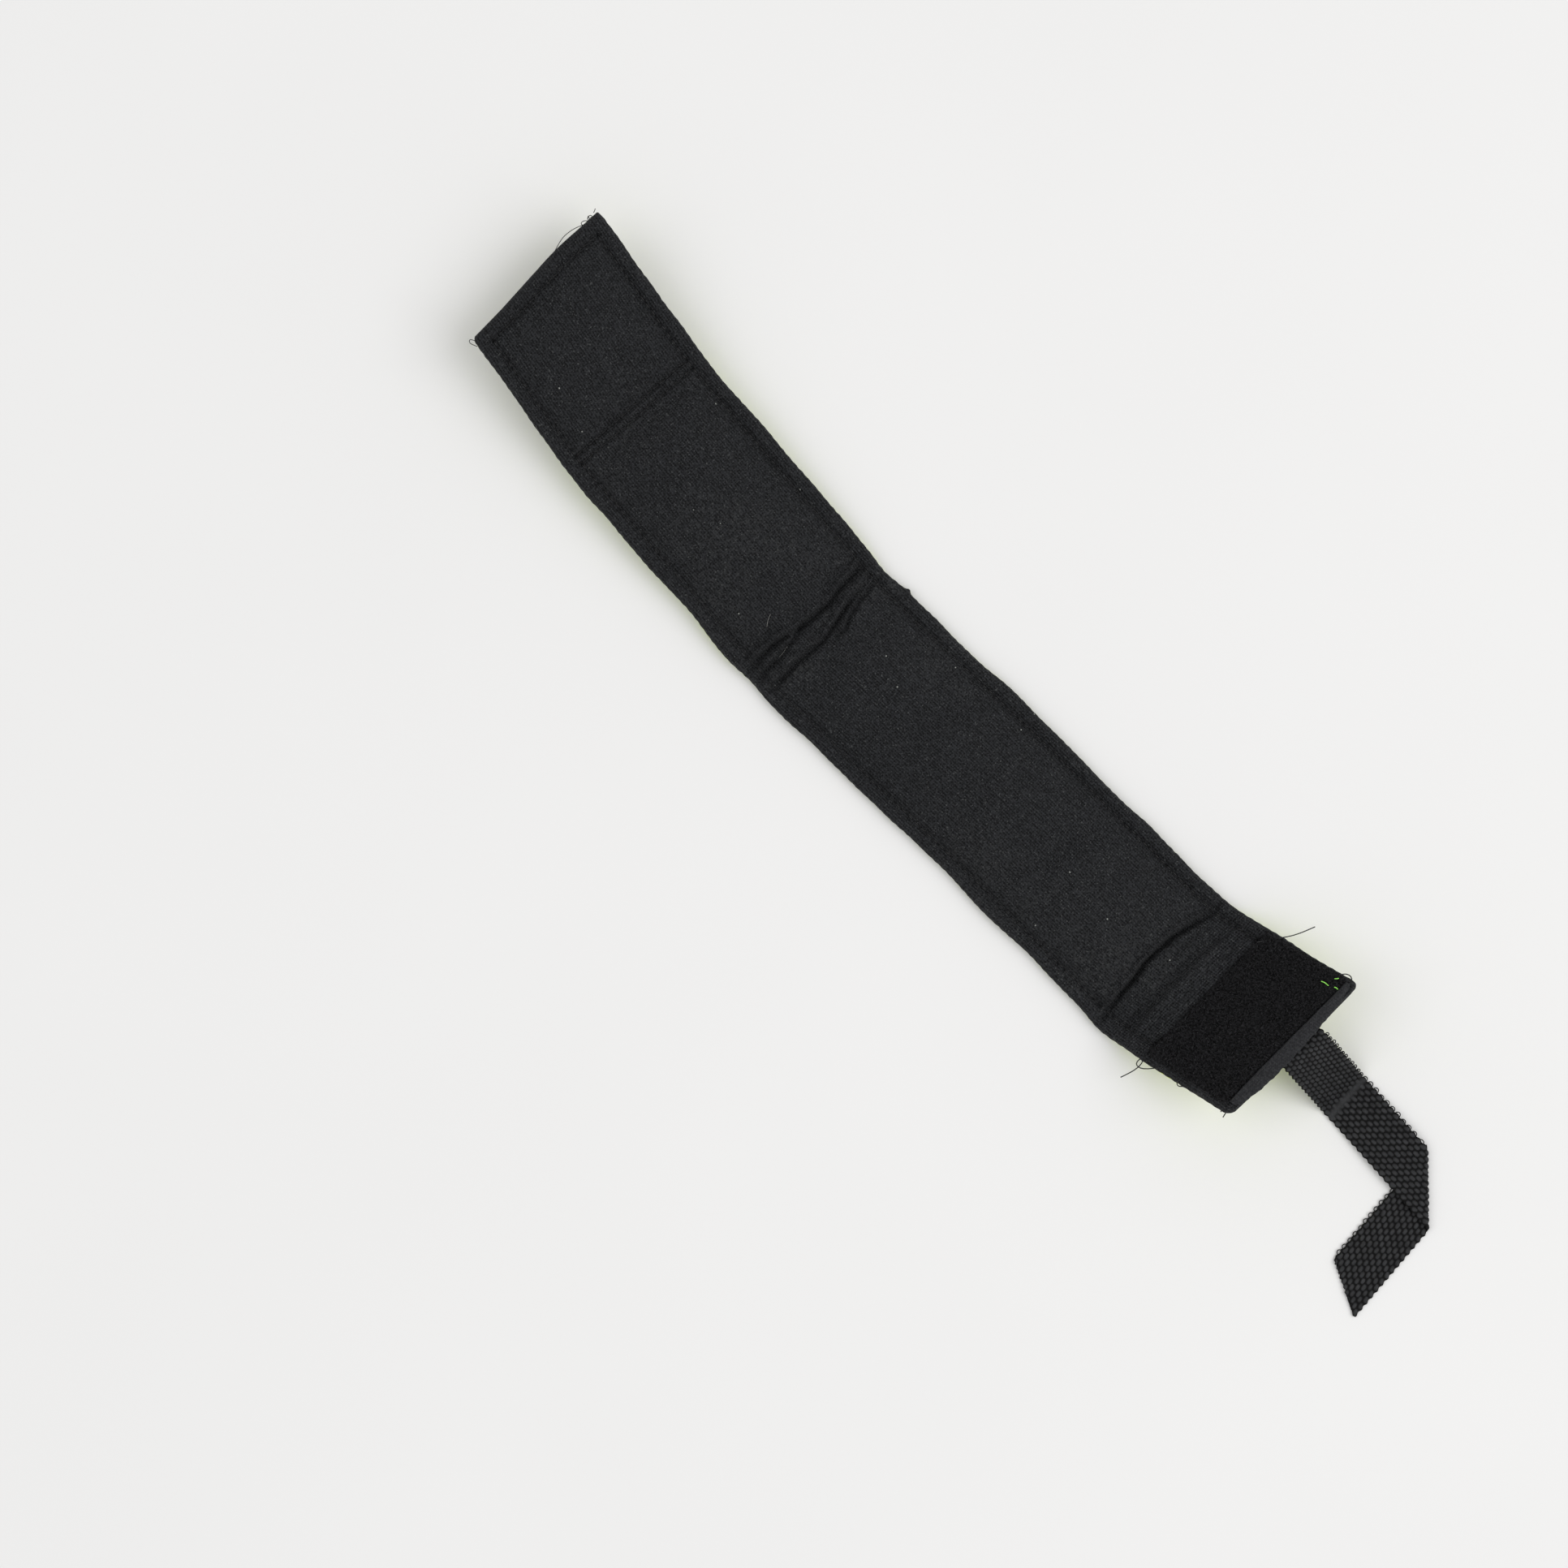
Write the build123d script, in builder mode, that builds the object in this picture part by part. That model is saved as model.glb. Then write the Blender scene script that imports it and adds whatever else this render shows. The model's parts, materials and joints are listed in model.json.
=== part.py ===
from build123d import *
from math import cos, radians, sin
import os

os.makedirs("parts", exist_ok=True)

# An ankle cuff weight lying open, skin side up. All sizes are in millimetres.
# +X runs along the band from the hook tab to the strap, +Z is up, and the origin is on the
# flat underside of the long weight pocket, at its middle.

# Lengths along the band, laid flat
tab_length = 58
short_pocket_length = 103
long_pocket_length = 169
end_length = 55

# Widths and layers
band_width = 63
margin = 6.5            # flat sewn strip along each long edge
outer_thickness = 1.2   # laminated cloth of the outer panel
inner_thickness = 3.0   # knit-faced neoprene of the skin side
crown = 8.0             # how far a full pocket swells above its sewn edges
seam_crown = 0.05       # what is left of that swell at a crease
flat_length = 3         # flat strip on each side of a crease
swell_length = 24       # distance from a crease to the full swell

# Weight bags and the sand in them: gap to the panels, distance from the pocket's long sewn
# edges, distance from a crease, and swell at that thin end
bag_sizes = (0.4, 3.5, 9, 0.8)
fill_sizes = (0.9, 6, 15, 0.5)

# The band lies in a shallow curve: sideways offset and slant of each line across it
tab_end_offset, tab_end_slant = 17.5, 0
seam_offset, seam_slant = 8.2, 5
crease_1_offset, crease_1_slant = -1.0, 5
crease_2_offset, crease_2_slant = -0.8, 0
end_offset, end_slant = 9.8, 0

# How far each length is tilted up from the one before it, in degrees
short_tilt = 5
tab_tilt = 6
end_tilt = 25

# Patches, stitching and webbing
patch_start = 18        # from the second crease to the loop patch
patch_thickness = 1.8
thread_width = 0.6
thread_height = 0.4
stitch_inset = 5.5      # from an edge to its row of stitches
seam_spacing = 3.4      # between the two rows of the cross seam
hook_margin = 5         # from the tab's edges to the hook patch
bar_tack_length = 5
webbing_width = 20
webbing_thickness = 1.4
webbing_clearance = 0.4
tail_length = 14        # webbing sewn inside the end
tail_offset = 1.5       # sideways, from the middle of the band's end
binding_width = 56
binding_bulge = 3.5
binding_height = 3.2
binding_fillet = 1.2

# The pull strap's way down to the table, measured along it on the ground
strap_heading = -4      # degrees, seen from above
strap_start = 2.4       # from the band's end to the strap's hinge line
touch_down = 25         # where it meets the table
touch_radius = 9
lift_start = 50         # where it starts to lie over its own tip
fold_at = 71            # the diagonal fold
tip_length = 44
tip_heading = -86
tip_slant = 11.5        # how much longer one edge of the cut tip is than the other

# Hinges
joint_gap = 0.3         # clear space between two moving lengths
hinge_rise = 0.5        # hinge line above the skin face, so that folding never pinches

sewn_thickness = outer_thickness + inner_thickness
crease_height = sewn_thickness + hinge_rise
flex_height = sewn_thickness + crown + hinge_rise
up = Vector(0, 0, 1)


def across_direction(slant):
    """Unit vector across the band, turned from +Y towards +X by slant degrees."""
    return Vector(sin(radians(slant)), cos(radians(slant)), 0)


def turned(vector, axis, angle):
    """vector turned about a unit axis through the origin, in degrees."""
    part = vector * cos(radians(angle)) + axis.cross(vector) * sin(radians(angle))
    return part + axis * (axis.dot(vector) * (1 - cos(radians(angle))))


def local_vector(base, vector):
    """A direction given in base's own coordinates, as a world direction."""
    return base.x_dir * vector.X + base.y_dir * vector.Y + base.z_dir * vector.Z


def tilted(base, line, height, angle):
    """base turned about the line across the band at that height; line is (x, y, slant)."""
    x, y, slant = line
    pivot = base.from_local_coords(Vector(x, y, height))
    axis = local_vector(base, across_direction(slant))
    origin = pivot + turned(base.origin - pivot, axis, angle)
    return Plane(
        origin=origin,
        x_dir=turned(base.x_dir, axis, angle),
        z_dir=turned(base.z_dir, axis, angle),
    )


def station(base, line, shift=0):
    """Upright plane across the band: its x runs across, its y is up and its z runs along."""
    x, y, slant = line
    across = across_direction(slant)
    along = across.cross(up)
    spot = Vector(x, y, 0) + along * shift
    return Plane(
        origin=base.from_local_coords(spot),
        x_dir=local_vector(base, across),
        z_dir=local_vector(base, along),
    )


def between(line_a, line_b, distance):
    """The line across the band at a distance past line_a, on the way to line_b."""
    share = distance / (line_b[0] - line_a[0])
    return tuple(a + (b - a) * share for a, b in zip(line_a, line_b))


# Lines across the band in the flat layout: x, sideways offset, slant
crease_1_x = -long_pocket_length / 2
crease_2_x = long_pocket_length / 2
seam_x = crease_1_x - short_pocket_length
tab_end = (seam_x - tab_length, tab_end_offset, tab_end_slant)
seam = (seam_x, seam_offset, seam_slant)
crease_1 = (crease_1_x, crease_1_offset, crease_1_slant)
middle = (0, 0, 0)
crease_2 = (crease_2_x, crease_2_offset, crease_2_slant)
band_end = (crease_2_x + end_length, end_offset, end_slant)

ground = Plane.XY
short_base = tilted(ground, crease_1, crease_height, short_tilt)
tab_base = tilted(short_base, seam, crease_height, tab_tilt)
end_base = tilted(ground, crease_2, crease_height, -end_tilt)

half_width = band_width / 2
half_gap = joint_gap / 2
half_webbing = webbing_thickness / 2


def panel_section(plane, rise):
    """Section of the skin panel: flat sewn margins and a swelling middle of even thickness."""
    low = outer_thickness
    high = sewn_thickness
    inside = half_width - margin
    with BuildSketch(plane) as section:
        with BuildLine():
            Polyline((-inside, high), (-half_width, high), (-half_width, low), (-inside, low))
            ThreePointArc((-inside, low), (0, low + rise), (inside, low))
            Polyline((inside, low), (half_width, low), (half_width, high), (inside, high))
            ThreePointArc((inside, high), (0, high + rise), (-inside, high))
        make_face()
    return section


def pocket_lines(base, start, end, swell_at_start, swell_at_end):
    """Stations of one length of pocket with the swell at each, from start to end."""
    length = end[0] - start[0]
    if swell_at_start:
        lines = [(station(base, start, half_gap), crown)]
    else:
        lines = [
            (station(base, start, half_gap), seam_crown),
            (station(base, between(start, end, flat_length)), seam_crown),
            (station(base, between(start, end, swell_length)), crown),
        ]
    if swell_at_end:
        lines.append((station(base, end, -half_gap), crown))
    else:
        lines += [
            (station(base, between(start, end, length - swell_length)), crown),
            (station(base, between(start, end, length - flat_length)), seam_crown),
            (station(base, end, -half_gap), seam_crown),
        ]
    return lines


def panel_faces(base, start, end, swell_at_start, swell_at_end):
    """Faces to loft one length of the skin panel through."""
    lines = pocket_lines(base, start, end, swell_at_start, swell_at_end)
    return [panel_section(plane, rise).sketch for plane, rise in lines]


def lens_section(plane, gap, side, rise):
    """Section of a weight bag or its fill: a flat floor and one arc over it."""
    half_span = half_width - margin - side
    floor = outer_thickness + gap
    with BuildSketch(plane) as section:
        with BuildLine():
            Line((-half_span, floor), (half_span, floor))
            ThreePointArc((half_span, floor), (0, floor + rise), (-half_span, floor))
        make_face()
    return section


def lens_faces(base, start, end, open_at_start, open_at_end, sizes):
    """Faces to loft a bag or fill through: it tapers to a crease and runs up to the flex line."""
    gap, side, first, thin = sizes
    full = crown - 2 * gap
    length = end[0] - start[0]
    if open_at_start:
        lines = [(station(base, start, half_gap), full)]
    else:
        lines = [
            (station(base, between(start, end, first)), thin),
            (station(base, between(start, end, swell_length)), full),
        ]
    if open_at_end:
        lines.append((station(base, end, -half_gap), full))
    else:
        lines += [
            (station(base, between(start, end, length - swell_length)), full),
            (station(base, between(start, end, length - first)), thin),
        ]
    return [lens_section(plane, gap, side, rise).sketch for plane, rise in lines]


def edge_point(line, side, inset, shift):
    """Point of the flat layout near a long edge, shifted along the band from a line across it."""
    x, y, slant = line
    across = across_direction(slant)
    spot = Vector(x, y, 0) + across.cross(up) * shift + across * side * (half_width - inset)
    return spot.X, spot.Y


def outline(start, end, start_shift, end_shift, inset=0):
    """Corners of a four-sided piece between two lines across the band."""
    return [
        edge_point(start, -1, inset, start_shift),
        edge_point(end, -1, inset, -end_shift),
        edge_point(end, 1, inset, -end_shift),
        edge_point(start, 1, inset, start_shift),
    ]


def thread_outline(point_a, point_b):
    """Corners of a straight run of thread between two points."""
    a = Vector(*point_a)
    b = Vector(*point_b)
    side = (b - a).normalized().cross(up) * (thread_width / 2)
    return [(p.X, p.Y) for p in (a - side, b - side, b + side, a + side)]


def edge_threads(start, end, start_shift, end_shift):
    """The two rows of topstitching along the long edges between two lines."""
    rows = []
    for side in (-1, 1):
        point_a = edge_point(start, side, stitch_inset, start_shift)
        point_b = edge_point(end, side, stitch_inset, -end_shift)
        rows.append(thread_outline(point_a, point_b))
    return rows


def cross_thread(line, shift):
    """One row of stitching across the band, a distance past a line across it."""
    inset = stitch_inset + thread_width
    return thread_outline(edge_point(line, -1, inset, shift), edge_point(line, 1, inset, shift))


# Outer panel, weight bags and skin panel of the three lengths of pocket
with BuildPart() as outer_panel_front:
    with BuildSketch(ground):
        Polygon(*outline(middle, crease_2, half_gap, half_gap), align=None)
    extrude(amount=outer_thickness)

with BuildPart() as outer_panel_rear:
    with BuildSketch(ground):
        Polygon(*outline(crease_1, middle, half_gap, half_gap), align=None)
    extrude(amount=outer_thickness)

with BuildPart() as outer_panel_short:
    with BuildSketch(short_base):
        Polygon(*outline(seam, crease_1, half_gap, half_gap), align=None)
    extrude(amount=outer_thickness)

with BuildPart() as inner_panel_front:
    loft(panel_faces(ground, middle, crease_2, True, False), ruled=True)

with BuildPart() as inner_panel_rear:
    loft(panel_faces(ground, crease_1, middle, False, True), ruled=True)

with BuildPart() as inner_panel_short:
    loft(panel_faces(short_base, seam, crease_1, False, False), ruled=True)

with BuildPart() as fill_front:
    loft(lens_faces(ground, middle, crease_2, True, False, fill_sizes), ruled=True)

with BuildPart() as fill_rear:
    loft(lens_faces(ground, crease_1, middle, False, True, fill_sizes), ruled=True)

with BuildPart() as fill_short:
    loft(lens_faces(short_base, seam, crease_1, False, False, fill_sizes), ruled=True)

with BuildPart() as pouch_front:
    loft(lens_faces(ground, middle, crease_2, True, False, bag_sizes), ruled=True)
    add(fill_front.part, mode=Mode.SUBTRACT)

with BuildPart() as pouch_rear:
    loft(lens_faces(ground, crease_1, middle, False, True, bag_sizes), ruled=True)
    add(fill_rear.part, mode=Mode.SUBTRACT)

with BuildPart() as pouch_short:
    loft(lens_faces(short_base, seam, crease_1, False, False, bag_sizes), ruled=True)
    add(fill_short.part, mode=Mode.SUBTRACT)

# Topstitching of the pockets
with BuildPart() as edge_stitch_front:
    with BuildSketch(ground.offset(sewn_thickness)):
        for corners in edge_threads(middle, crease_2, half_gap, half_gap):
            Polygon(*corners, align=None)
    extrude(amount=thread_height)

with BuildPart() as edge_stitch_rear:
    with BuildSketch(ground.offset(sewn_thickness)):
        for corners in edge_threads(crease_1, middle, half_gap, half_gap):
            Polygon(*corners, align=None)
    extrude(amount=thread_height)

with BuildPart() as edge_stitch_short:
    with BuildSketch(short_base.offset(sewn_thickness)):
        for corners in edge_threads(seam, crease_1, seam_spacing / 2, half_gap):
            Polygon(*corners, align=None)
    extrude(amount=thread_height)

with BuildPart() as cross_seam_stitch:
    with BuildSketch(short_base.offset(sewn_thickness + seam_crown)):
        Polygon(*cross_thread(seam, seam_spacing / 2), align=None)
    extrude(amount=thread_height)

# Hook tab
with BuildPart() as outer_panel_tab:
    with BuildSketch(tab_base):
        Polygon(*outline(tab_end, seam, 0, half_gap), align=None)
    extrude(amount=outer_thickness)

with BuildPart() as inner_panel_tab:
    with BuildSketch(tab_base.offset(outer_thickness)):
        Polygon(*outline(tab_end, seam, 0, half_gap), align=None)
    extrude(amount=inner_thickness)

with BuildPart() as hook_patch:
    with BuildSketch(tab_base.offset(-patch_thickness)):
        Polygon(*outline(tab_end, seam, hook_margin, hook_margin, hook_margin), align=None)
    extrude(amount=patch_thickness)

with BuildPart() as box_stitch_tab:
    with BuildSketch(tab_base.offset(sewn_thickness)):
        for corners in edge_threads(tab_end, seam, stitch_inset, seam_spacing / 2):
            Polygon(*corners, align=None)
        Polygon(*cross_thread(seam, -seam_spacing / 2), align=None)
        Polygon(*cross_thread(tab_end, stitch_inset), align=None)
    extrude(amount=thread_height)

# Loop end
tail_line = (band_end[0], band_end[1] + tail_offset, band_end[2])
tail_middle = (tail_line[0] - tail_length / 2, tail_line[1])
with BuildPart() as outer_panel_end:
    with BuildSketch(end_base):
        Polygon(*outline(crease_2, band_end, half_gap, 0), align=None)
    extrude(amount=outer_thickness)

with BuildPart() as strap_tail:
    with BuildSketch(end_base.offset(outer_thickness)):
        with Locations(tail_middle):
            Rectangle(tail_length, webbing_width)
    extrude(amount=webbing_thickness)

with BuildPart() as inner_panel_end:
    with BuildSketch(end_base.offset(outer_thickness)):
        Polygon(*outline(crease_2, band_end, half_gap, 0), align=None)
    extrude(amount=inner_thickness)
    add(strap_tail.part, mode=Mode.SUBTRACT)

# The bar tack is pulled down into the pile, so it lies level with the patch
with BuildPart() as bar_tack:
    tack_at = edge_point(band_end, 1, stitch_inset, -stitch_inset)
    with BuildSketch(end_base.offset(sewn_thickness + patch_thickness - thread_height)):
        with Locations(tack_at):
            Rectangle(bar_tack_length, 2 * thread_width)
    extrude(amount=thread_height)

with BuildPart() as loop_patch:
    patch_line = between(crease_2, band_end, patch_start)
    with BuildSketch(end_base.offset(sewn_thickness)):
        Polygon(*outline(patch_line, band_end, 0, 0), align=None)
    extrude(amount=patch_thickness)
    add(bar_tack.part, mode=Mode.SUBTRACT)

binding_floor = outer_thickness + webbing_thickness + webbing_clearance
with BuildPart() as end_binding:
    with BuildSketch(end_base.offset(binding_floor)):
        with BuildLine():
            low = (band_end[0], band_end[1] - binding_width / 2)
            high = (band_end[0], band_end[1] + binding_width / 2)
            Line(high, low)
            ThreePointArc(low, (band_end[0] + binding_bulge, band_end[1]), high)
        make_face()
    extrude(amount=binding_height)
    nose = end_binding.faces().filter_by(GeomType.CYLINDER).sort_by(Axis.X)[-1]
    fillet(nose.edges().filter_by(GeomType.CIRCLE), radius=binding_fillet)

# Pull strap
strap_along = Vector(cos(radians(strap_heading)), sin(radians(strap_heading)), 0)
tip_along = Vector(cos(radians(tip_heading)), sin(radians(tip_heading)), 0)
strap_hinge = end_base.from_local_coords(
    Vector(tail_line[0] + strap_start, tail_line[1], outer_thickness + half_webbing)
)
strap_foot = Vector(strap_hinge.X, strap_hinge.Y, 0)
fold_point = strap_foot + strap_along * fold_at
crease_along = (strap_along + tip_along).normalized()
crease_normal = crease_along.cross(up) * -1
side_plane = Plane(origin=strap_foot, x_dir=strap_along, z_dir=strap_along.cross(up))
lifted = webbing_thickness + joint_gap + half_webbing

with BuildPart() as strap:
    with BuildSketch(side_plane):
        with BuildLine() as strap_path:
            FilletPolyline(
                (0, strap_hinge.Z),
                (touch_down, half_webbing),
                (lift_start, lifted),
                (fold_at + webbing_width, lifted),
                radius=touch_radius,
            )
        trace(line_width=webbing_thickness)
    extrude(amount=webbing_width / 2, both=True)
    split(bisect_by=Plane(origin=fold_point, z_dir=crease_normal), keep=Keep.BOTTOM)

with BuildPart() as strap_tip:
    tip_side = tip_along.cross(up)
    corners = []
    for side in (-1, 1):
        edge = fold_point + tip_side * side * webbing_width / 2
        reach = (fold_point - edge).dot(crease_normal) / tip_along.dot(crease_normal)
        cut = tip_length - side * tip_slant / 2
        corners += [edge + tip_along * reach, edge + tip_along * cut][::-side]
    with BuildSketch(ground):
        Polygon(*[(corner.X, corner.Y) for corner in corners], align=None)
    extrude(amount=webbing_thickness)

subparts = {
    "outer_panel_front": outer_panel_front,
    "outer_panel_rear": outer_panel_rear,
    "outer_panel_short": outer_panel_short,
    "outer_panel_tab": outer_panel_tab,
    "outer_panel_end": outer_panel_end,
    "inner_panel_front": inner_panel_front,
    "inner_panel_rear": inner_panel_rear,
    "inner_panel_short": inner_panel_short,
    "inner_panel_tab": inner_panel_tab,
    "inner_panel_end": inner_panel_end,
    "pouch_front": pouch_front,
    "pouch_rear": pouch_rear,
    "pouch_short": pouch_short,
    "fill_front": fill_front,
    "fill_rear": fill_rear,
    "fill_short": fill_short,
    "edge_stitch_front": edge_stitch_front,
    "edge_stitch_rear": edge_stitch_rear,
    "edge_stitch_short": edge_stitch_short,
    "cross_seam_stitch": cross_seam_stitch,
    "box_stitch_tab": box_stitch_tab,
    "hook_patch": hook_patch,
    "loop_patch": loop_patch,
    "end_binding": end_binding,
    "bar_tack": bar_tack,
    "strap_tail": strap_tail,
    "strap": strap,
    "strap_tip": strap_tip,
}
for name, subpart in subparts.items():
    subpart.part.label = name
    export_step(subpart.part, f"parts/{name}.step")

for name, base, line, height in (
    ("mid_flex", ground, middle, flex_height),
    ("crease_fold", ground, crease_1, crease_height),
    ("tab_fold", short_base, seam, crease_height),
    ("end_fold", ground, crease_2, crease_height),
):
    point = base.from_local_coords(Vector(line[0], line[1], height))
    print(name, point, local_vector(base, across_direction(line[2])))
print("strap_swing", strap_hinge, strap_along.cross(up))
print("strap_unfold", fold_point, webbing_thickness + joint_gap / 2, crease_along)
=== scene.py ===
"""Looks of the ankle cuff weight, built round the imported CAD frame. Lengths in the code are in mm."""

import json
import math

import bpy
import numpy as np
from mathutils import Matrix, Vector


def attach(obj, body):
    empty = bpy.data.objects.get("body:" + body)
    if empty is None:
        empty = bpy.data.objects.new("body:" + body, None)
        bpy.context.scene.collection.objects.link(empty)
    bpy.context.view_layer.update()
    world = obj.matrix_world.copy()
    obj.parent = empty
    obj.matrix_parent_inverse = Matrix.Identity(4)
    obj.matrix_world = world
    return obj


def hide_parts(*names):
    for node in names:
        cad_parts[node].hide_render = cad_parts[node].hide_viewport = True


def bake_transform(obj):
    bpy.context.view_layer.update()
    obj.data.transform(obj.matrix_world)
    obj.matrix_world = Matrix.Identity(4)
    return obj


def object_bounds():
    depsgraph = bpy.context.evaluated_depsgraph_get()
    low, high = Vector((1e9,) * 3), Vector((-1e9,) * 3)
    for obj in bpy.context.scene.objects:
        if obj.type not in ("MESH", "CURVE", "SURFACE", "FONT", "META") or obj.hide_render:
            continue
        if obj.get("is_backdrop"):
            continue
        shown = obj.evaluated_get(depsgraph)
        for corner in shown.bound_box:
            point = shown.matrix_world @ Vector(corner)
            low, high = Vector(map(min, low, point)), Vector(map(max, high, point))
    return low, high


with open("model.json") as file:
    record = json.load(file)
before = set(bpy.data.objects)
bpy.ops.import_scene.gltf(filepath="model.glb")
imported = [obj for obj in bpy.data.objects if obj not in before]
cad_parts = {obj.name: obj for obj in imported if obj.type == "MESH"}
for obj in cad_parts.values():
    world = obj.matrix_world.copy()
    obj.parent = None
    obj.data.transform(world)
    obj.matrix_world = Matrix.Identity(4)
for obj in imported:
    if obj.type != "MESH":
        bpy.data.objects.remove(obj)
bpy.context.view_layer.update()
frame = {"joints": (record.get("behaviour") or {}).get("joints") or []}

MM = 0.001
WRAP = 2 * math.pi
random = np.random.default_rng(7)
HALF = 31.5             # half the width of the band
STITCH_V = 26.0         # from the middle of the band to its rows of topstitching
POCKET_HALF = 25.0      # from the middle to where a pocket's swelling ends
STITCH_PITCH = 3.0
STITCH_RADIUS, BOBBIN_RADIUS = 0.27, 0.20

# Heights of the band's layers in the flat layout
CLOTH_MIDDLE = 0.6      # middle of the outer cloth
CLOTH_TOP = 1.22        # lowest place of the skin's hidden underside
BAG_FLOOR = 1.25
SKIN_EDGE = 2.0         # what the skin rounds off to along its edges
SKIN_LEAST = 2.3        # no groove goes lower
SKIN_SEWN = 4.2         # top of the skin where it is sewn down
SKIN_THICK = 3.0

# Lines across the band in the flat layout: distance along it, sideways offset, slant in degrees
TAB_END, SEAM, CREASE_1, CREASE_2, BAND_END = -245.5, -187.5, -84.5, 84.5, 139.5
LINES = np.array([
    (TAB_END, 17.5, 0), (SEAM, 7.5, 5), (CREASE_1, -1.0, 5),
    (0, 0, 0), (CREASE_2, -0.8, 0), (BAND_END, 9.8, 0),
])
# Bends of the resting band about those lines: line, reach, lead, angle in degrees, side that turns
BENDS = ((1, 12, 12, 6, -1), (2, 12, 12, 5, -1), (4, 8, 2, -25, 1))
PIVOT_HEIGHT = 4.7
PATCH_START, PATCH_END = 102.5, 136.6
SEAM_ROWS = (SEAM - 1.7, SEAM + 1.7)
TAB_ROW = TAB_END + 5.5

# The four stretches of cloth: from, to, two bodies, the joint between them, and how far before and
# after its hinge the bend reaches, mostly on the side that moves
REGIONS = {
    "tab": (TAB_END, -136.0, "hook_tab", "short_pocket", "tab_fold", 4.5, 9),
    "crease": (-136.0, -42.0, "short_pocket", "long_rear", "crease_fold", 24, 7),
    "middle": (-42.0, 42.0, "long_rear", "long_front", "mid_flex", 40, 7),
    "end": (42.0, BAND_END, "long_front", "loop_end", "end_fold", 5, 17.5),
}
hinges = {j["name"]: (np.array(j["pos_m"]), np.array(j["axis"])) for j in frame["joints"]}


# ---------------- camera, light and floor
def look_from_above():
    data = bpy.data.cameras.new("camera")
    data.sensor_width, data.lens = 36, 77.1
    camera = bpy.data.objects.new("camera", data)
    camera.location = (-0.0574, -0.0492, 1.2)
    camera.rotation_euler = (0, 0, math.radians(44.4))
    bpy.context.scene.collection.objects.link(camera)
    bpy.context.scene.camera = camera


def soft_light(name, spot, size, power):
    data = bpy.data.lights.new(name, "AREA")
    data.shape, data.size, data.energy = "SQUARE", size, power
    light = bpy.data.objects.new(name, data)
    light.location = spot
    toward = -np.array(spot)
    light.rotation_euler = (
        math.acos(-toward[2] / np.linalg.norm(toward)), 0, math.atan2(toward[1], toward[0]) - math.pi / 2,
    )
    bpy.context.scene.collection.objects.link(light)


look_from_above()
soft_light("key", (2.0, 1.5, 3.0), 3.2, 80)
soft_light("fill", (-2.0, -1.6, 3.2), 3.0, 36)
world = bpy.data.worlds.new("studio")
world.use_nodes = True
world.node_tree.nodes["Background"].inputs["Color"].default_value = (1.0, 0.992, 0.990, 1)
world.node_tree.nodes["Background"].inputs["Strength"].default_value = 0.60
bpy.context.scene.world = world
bpy.context.scene.view_settings.view_transform = "Standard"


# ---------------- materials
class Paint:
    """A node material that is built one node at a time."""

    def __init__(self, name, roughness=0.8, **fixed):
        self.material = bpy.data.materials.new(name)
        self.material.use_nodes = True
        self.tree = self.material.node_tree
        self.shader = self.tree.nodes["Principled BSDF"]
        self.shader.inputs["Roughness"].default_value = roughness
        for socket, value in fixed.items():
            self.shader.inputs[socket.replace("_", " ")].default_value = value

    def node(self, kind, operation=None, **sockets):
        made = self.tree.nodes.new(kind)
        if operation:
            made.operation = operation
        for key, value in sockets.items():
            index = int(key[1:]) if key[0] == "i" and key[1:].isdigit() else key.replace("_", " ")
            if isinstance(value, bpy.types.NodeSocket):
                self.tree.links.new(value, made.inputs[index])
            else:
                made.inputs[index].default_value = value
        return made

    def math(self, operation, a, b=0.0):
        return self.node("ShaderNodeMath", operation, i0=a, i1=b).outputs[0]

    def times(self, a, b):
        return self.math("MULTIPLY", a, b)

    def plus(self, a, b):
        return self.math("ADD", a, b)

    def flat(self):
        """The flat layout's coordinates in mm: along, across."""
        uv = self.tree.nodes.new("ShaderNodeUVMap")
        uv.uv_map = "flat"
        split = self.node("ShaderNodeSeparateXYZ", i0=uv.outputs[0])
        return self.times(split.outputs[0], 1000), self.times(split.outputs[1], 1000)

    def wave(self, value, pitch, shift=None):
        turns = self.times(value, WRAP / pitch)
        if shift is not None:
            turns = self.plus(turns, shift)
        return self.math("SINE", turns)

    def noise(self, scale, detail=3.0):
        made = self.node("ShaderNodeTexNoise", Scale=scale, Detail=detail, Vector=self.object_space())
        return made.outputs["Fac"]

    def object_space(self):
        if not hasattr(self, "_space"):
            self._space = self.node("ShaderNodeTexCoord").outputs["Object"]
        return self._space

    def ramp(self, value, low, high, start=0.0, end=1.0):
        made = self.node(
            "ShaderNodeMapRange", Value=value, From_Min=low, From_Max=high, To_Min=start, To_Max=end,
        )
        return made.outputs["Result"]

    def mix(self, share, a, b):
        made = self.tree.nodes.new("ShaderNodeMix")
        made.data_type = "RGBA"
        for index, value in ((0, share), (6, a), (7, b)):
            if isinstance(value, bpy.types.NodeSocket):
                self.tree.links.new(value, made.inputs[index])
            else:
                made.inputs[index].default_value = value if index == 0 else (*value, 1)
        return made.outputs[2]

    def colour(self, socket):
        self.tree.links.new(socket, self.shader.inputs["Base Color"])

    def roughness(self, socket):
        self.tree.links.new(socket, self.shader.inputs["Roughness"])

    def bump(self, height, distance, strength=1.0):
        made = self.node("ShaderNodeBump", Height=height, Distance=distance * MM, Strength=strength)
        self.tree.links.new(made.outputs[0], self.shader.inputs["Normal"])
        return self.material


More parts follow.
